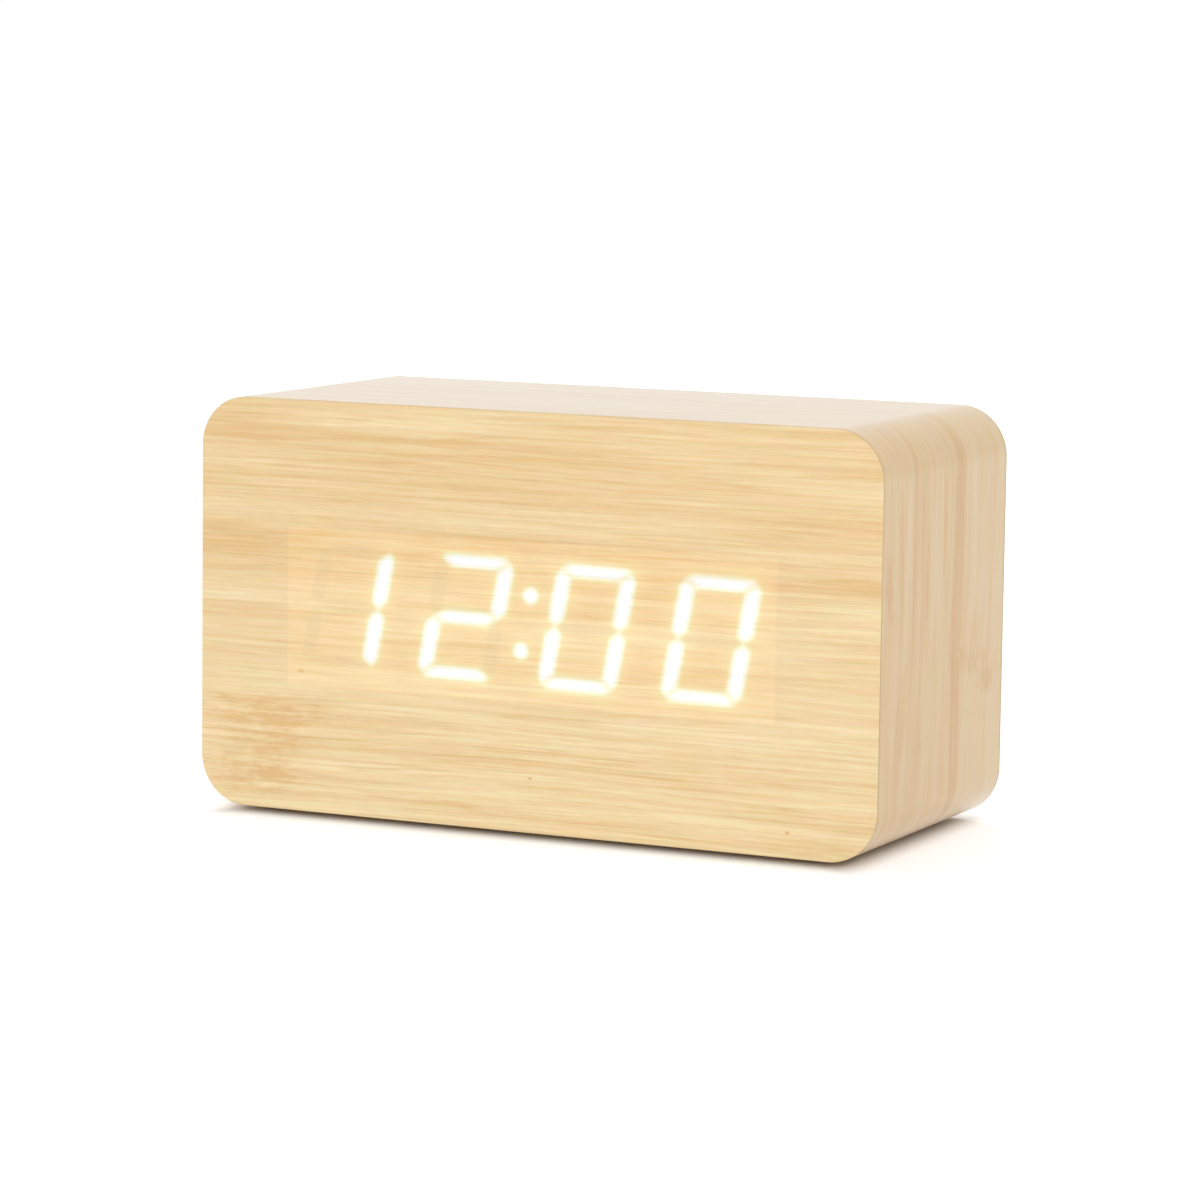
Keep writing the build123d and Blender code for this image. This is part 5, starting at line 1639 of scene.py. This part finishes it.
@dataclass
class Studio:
    """White table-top studio: camera, floor, lamps and surround."""

    camera_place: tuple[float, float, float] = (0.3366, -0.7000, 0.1351)
    azimuth: float = 25.70            # degrees to the right of the front
    elevation: float = 7.20
    roll: float = 0.73
    lens: float = 138.0               # mm
    sensor: float = 36.0              # mm, width
    clip: Point = (0.01, 50.0)        # metres
    aim: float = 0.035                # metres above the floor, where the lamps look
    paper: tuple[str, str] = ("F4F4F4", "F6F6F6")  # the floor's two close tones
    paper_cloud: float = 1 / 3        # metres from one to the other
    floor_size: float = 12.0
    surround: float = 0.50            # light of the white room
    lift: Point = (0.45, 0.60)        # glow of the floor near the clock and far from it
    lift_reach: Point = (0.2, 1.6)    # metres
    contact: Point = (-0.002, 0.006)  # metres past the clock's underside: no glow, and full glow; the band between them is painted contact shadow
    underside: Point = (0.056, 0.0275)  # metres, half of its width and depth
    lamps: tuple[Lamp, ...] = (Lamp("softbox", (0.68, -1.44, 0.60), size=0.9, watts=12.5),
                               Lamp("rear_softbox", (-0.5, 0.85, 1.2), size=1.0, watts=6.1))

    def build_camera(self) -> None:
        """Makes the camera at the viewing angle."""
        az, el, roll = (math.radians(a) for a in (self.azimuth, self.elevation, self.roll))
        forward = Vector((-math.sin(az) * math.cos(el), math.cos(az) * math.cos(el), -math.sin(el)))
        right = forward.cross(Vector((0, 0, 1))).normalized()
        up = right.cross(forward)
        turned_right = right * math.cos(roll) + up * math.sin(roll)
        turned_up = up * math.cos(roll) - right * math.sin(roll)
        matrix = Matrix((turned_right, turned_up, -forward)).transposed().to_4x4()
        matrix.translation = Vector(self.camera_place)
        data = bpy.data.cameras.new("camera")
        data.lens, data.sensor_width = self.lens, self.sensor
        data.clip_start, data.clip_end = self.clip
        camera = bpy.data.objects.new("camera", data)
        camera.matrix_world = matrix
        bpy.context.scene.collection.objects.link(camera)
        bpy.context.scene.camera = camera

    def build(self) -> None:
        """Makes the floor, the lamps and the white surround."""
        bpy.context.scene.view_settings.view_transform = "Standard"
        target = Vector((0.0, 0.0, self.aim))
        for lamp in self.lamps:
            lamp.build(target)
        self.build_floor()
        self.build_surround()

    def build_floor(self) -> None:
        """Makes the pale floor, which keeps the clock's shadow and meets the white surround."""
        half = self.floor_size / 2
        mesh = bpy.data.meshes.new("floor")
        mesh.from_pydata([(-half, -half, 0), (half, -half, 0), (half, half, 0), (-half, half, 0)], [],
                         [(0, 1, 2, 3)])
        floor = bpy.data.objects.new("floor", mesh)
        bpy.context.scene.collection.objects.link(floor)
        material, tree, shader = new_material("white_sweep")
        place = add_node(tree, "ShaderNodeTexCoord", out="Object")
        cloud = add_node(tree, "ShaderNodeTexNoise", {"Vector": place, "Scale": 1 / self.paper_cloud})
        paper = add_node(tree, "ShaderNodeMix", {"Factor": cloud, MIX_UNDER: linear(self.paper[0]),
                                                 MIX_OVER: linear(self.paper[1])},
                         out=MIX_RESULT, data_type="RGBA")
        tree.links.new(paper, shader.inputs["Base Color"])
        set_surface(shader, roughness=0.9, specular_ior_level=0.0)
        lift = add_node(tree, "ShaderNodeEmission", {"Color": self.floor_glow(tree, place), "Strength": 1.0})
        both = add_node(tree, "ShaderNodeAddShader", {0: shader.outputs[0], 1: lift})
        mix = add_node(tree, "ShaderNodeMixShader", {0: self.seen_rays(tree), 1: shader.outputs[0], 2: both})
        tree.links.new(mix, next(n for n in tree.nodes if n.type == "OUTPUT_MATERIAL").inputs["Surface"])
        dress(floor, material)

    def floor_glow(self, tree: bpy.types.NodeTree, place: Socket) -> Socket:
        """Lifts the floor towards white, and leaves the lift out round the clock's underside, which paints a
        darker contact shadow there.

        Args:
            tree: the floor's node tree.
            place: place on the floor, metres.

        Returns:
            Strength of the glow.
        """
        far = add_node(tree, "ShaderNodeVectorMath", {0: place}, out=1, operation="LENGTH")
        glow = add_node(tree, "ShaderNodeMapRange", {0: far, 1: self.lift_reach[0], 2: self.lift_reach[1],
                                                     3: self.lift[0], 4: self.lift[1]})
        # Painted contact shadow: the lift is left out in a band from just inside the clock's underside to a
        # few millimetres outside it.
        off = add_node(tree, "ShaderNodeVectorMath", {0: place}, operation="ABSOLUTE")
        off = add_node(tree, "ShaderNodeVectorMath", {0: off, 1: (*self.underside, 0.0)},
                       operation="SUBTRACT")
        parts = add_node(tree, "ShaderNodeSeparateXYZ", {0: off}, out=None)
        past = add_node(tree, "ShaderNodeMath", {0: parts.outputs[0], 1: parts.outputs[1]},
                        operation="MAXIMUM")
        clear = add_node(tree, "ShaderNodeMapRange", {0: past, 1: self.contact[0], 2: self.contact[1]},
                         interpolation_type="SMOOTHSTEP")
        return add_node(tree, "ShaderNodeMath", {0: glow, 1: clear}, operation="MULTIPLY")

    def build_surround(self) -> None:
        """Makes the world: soft even light, seen as pure white."""
        world = bpy.data.worlds.new("white_room")
        world.use_nodes = True
        tree = world.node_tree
        tree.nodes.clear()
        strength = add_node(tree, "ShaderNodeMix", {0: self.seen_rays(tree), 2: self.surround, 3: 1.0},
                            data_type="FLOAT")
        light = add_node(tree, "ShaderNodeBackground", {"Color": linear("FFFFFF"), "Strength": strength})
        add_node(tree, "ShaderNodeOutputWorld", {"Surface": light}, out=None)
        bpy.context.scene.world = world

    @staticmethod
    def seen_rays(tree: bpy.types.NodeTree) -> Socket:
        """Tells what the camera sees, straight, in a reflection or through glass.

        Args:
            tree: the node tree of the floor or of the world.

        Returns:
            1 for such rays and 0 for the light that falls on things.
        """
        path = add_node(tree, "ShaderNodeLightPath", out=None)
        seen = path.outputs["Is Camera Ray"]
        for name in ("Is Glossy Ray", "Is Transmission Ray"):
            seen = add_node(tree, "ShaderNodeMath", {0: seen, 1: path.outputs[name]}, operation="MAXIMUM")
        return seen


# ------------------------------------------------------------------ main
class SubAssembly(Protocol):
    """What main() builds and reports: pieces that belong together."""

    title: str

    def build(self) -> list[bpy.types.Object]:
        """Builds and dresses the pieces, and returns them."""


def main() -> None:
    """Builds the clock's looks round the frame, sub-assembly by sub-assembly."""
    logging.basicConfig(level=logging.INFO, format="%(name)s: %(message)s")
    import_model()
    studio = Studio()
    studio.build_camera()
    assemblies: tuple[SubAssembly, ...] = (
        WoodenCase(), DISPLAY, COVER, Buttons(), BatteryBay(), CONTROL,
        ScrewSet("cover_screws", "cover_screws_crosshead",
                 head_radius=2.4, head_height=1.3, shank_radius=1.1, way=Toward.PLUS),
        ScrewSet("display_screws", "display_screws_crosshead",
                 head_radius=1.9, head_height=1.3, shank_radius=0.9, way=Toward.PLUS),
        ScrewSet("board_screws", "board_screws_crosshead",
                 head_radius=1.9, head_height=1.3, shank_radius=0.9, way=Toward.MINUS))
    for assembly in assemblies:
        for piece in assembly.build():
            log.info("%s: %s, %d faces", assembly.title, piece.name, len(piece.data.polygons))
    studio.build()
    log.info("studio: camera, floor, white surround and %d lamps", len(studio.lamps))


if __name__ == "__main__":
    main()
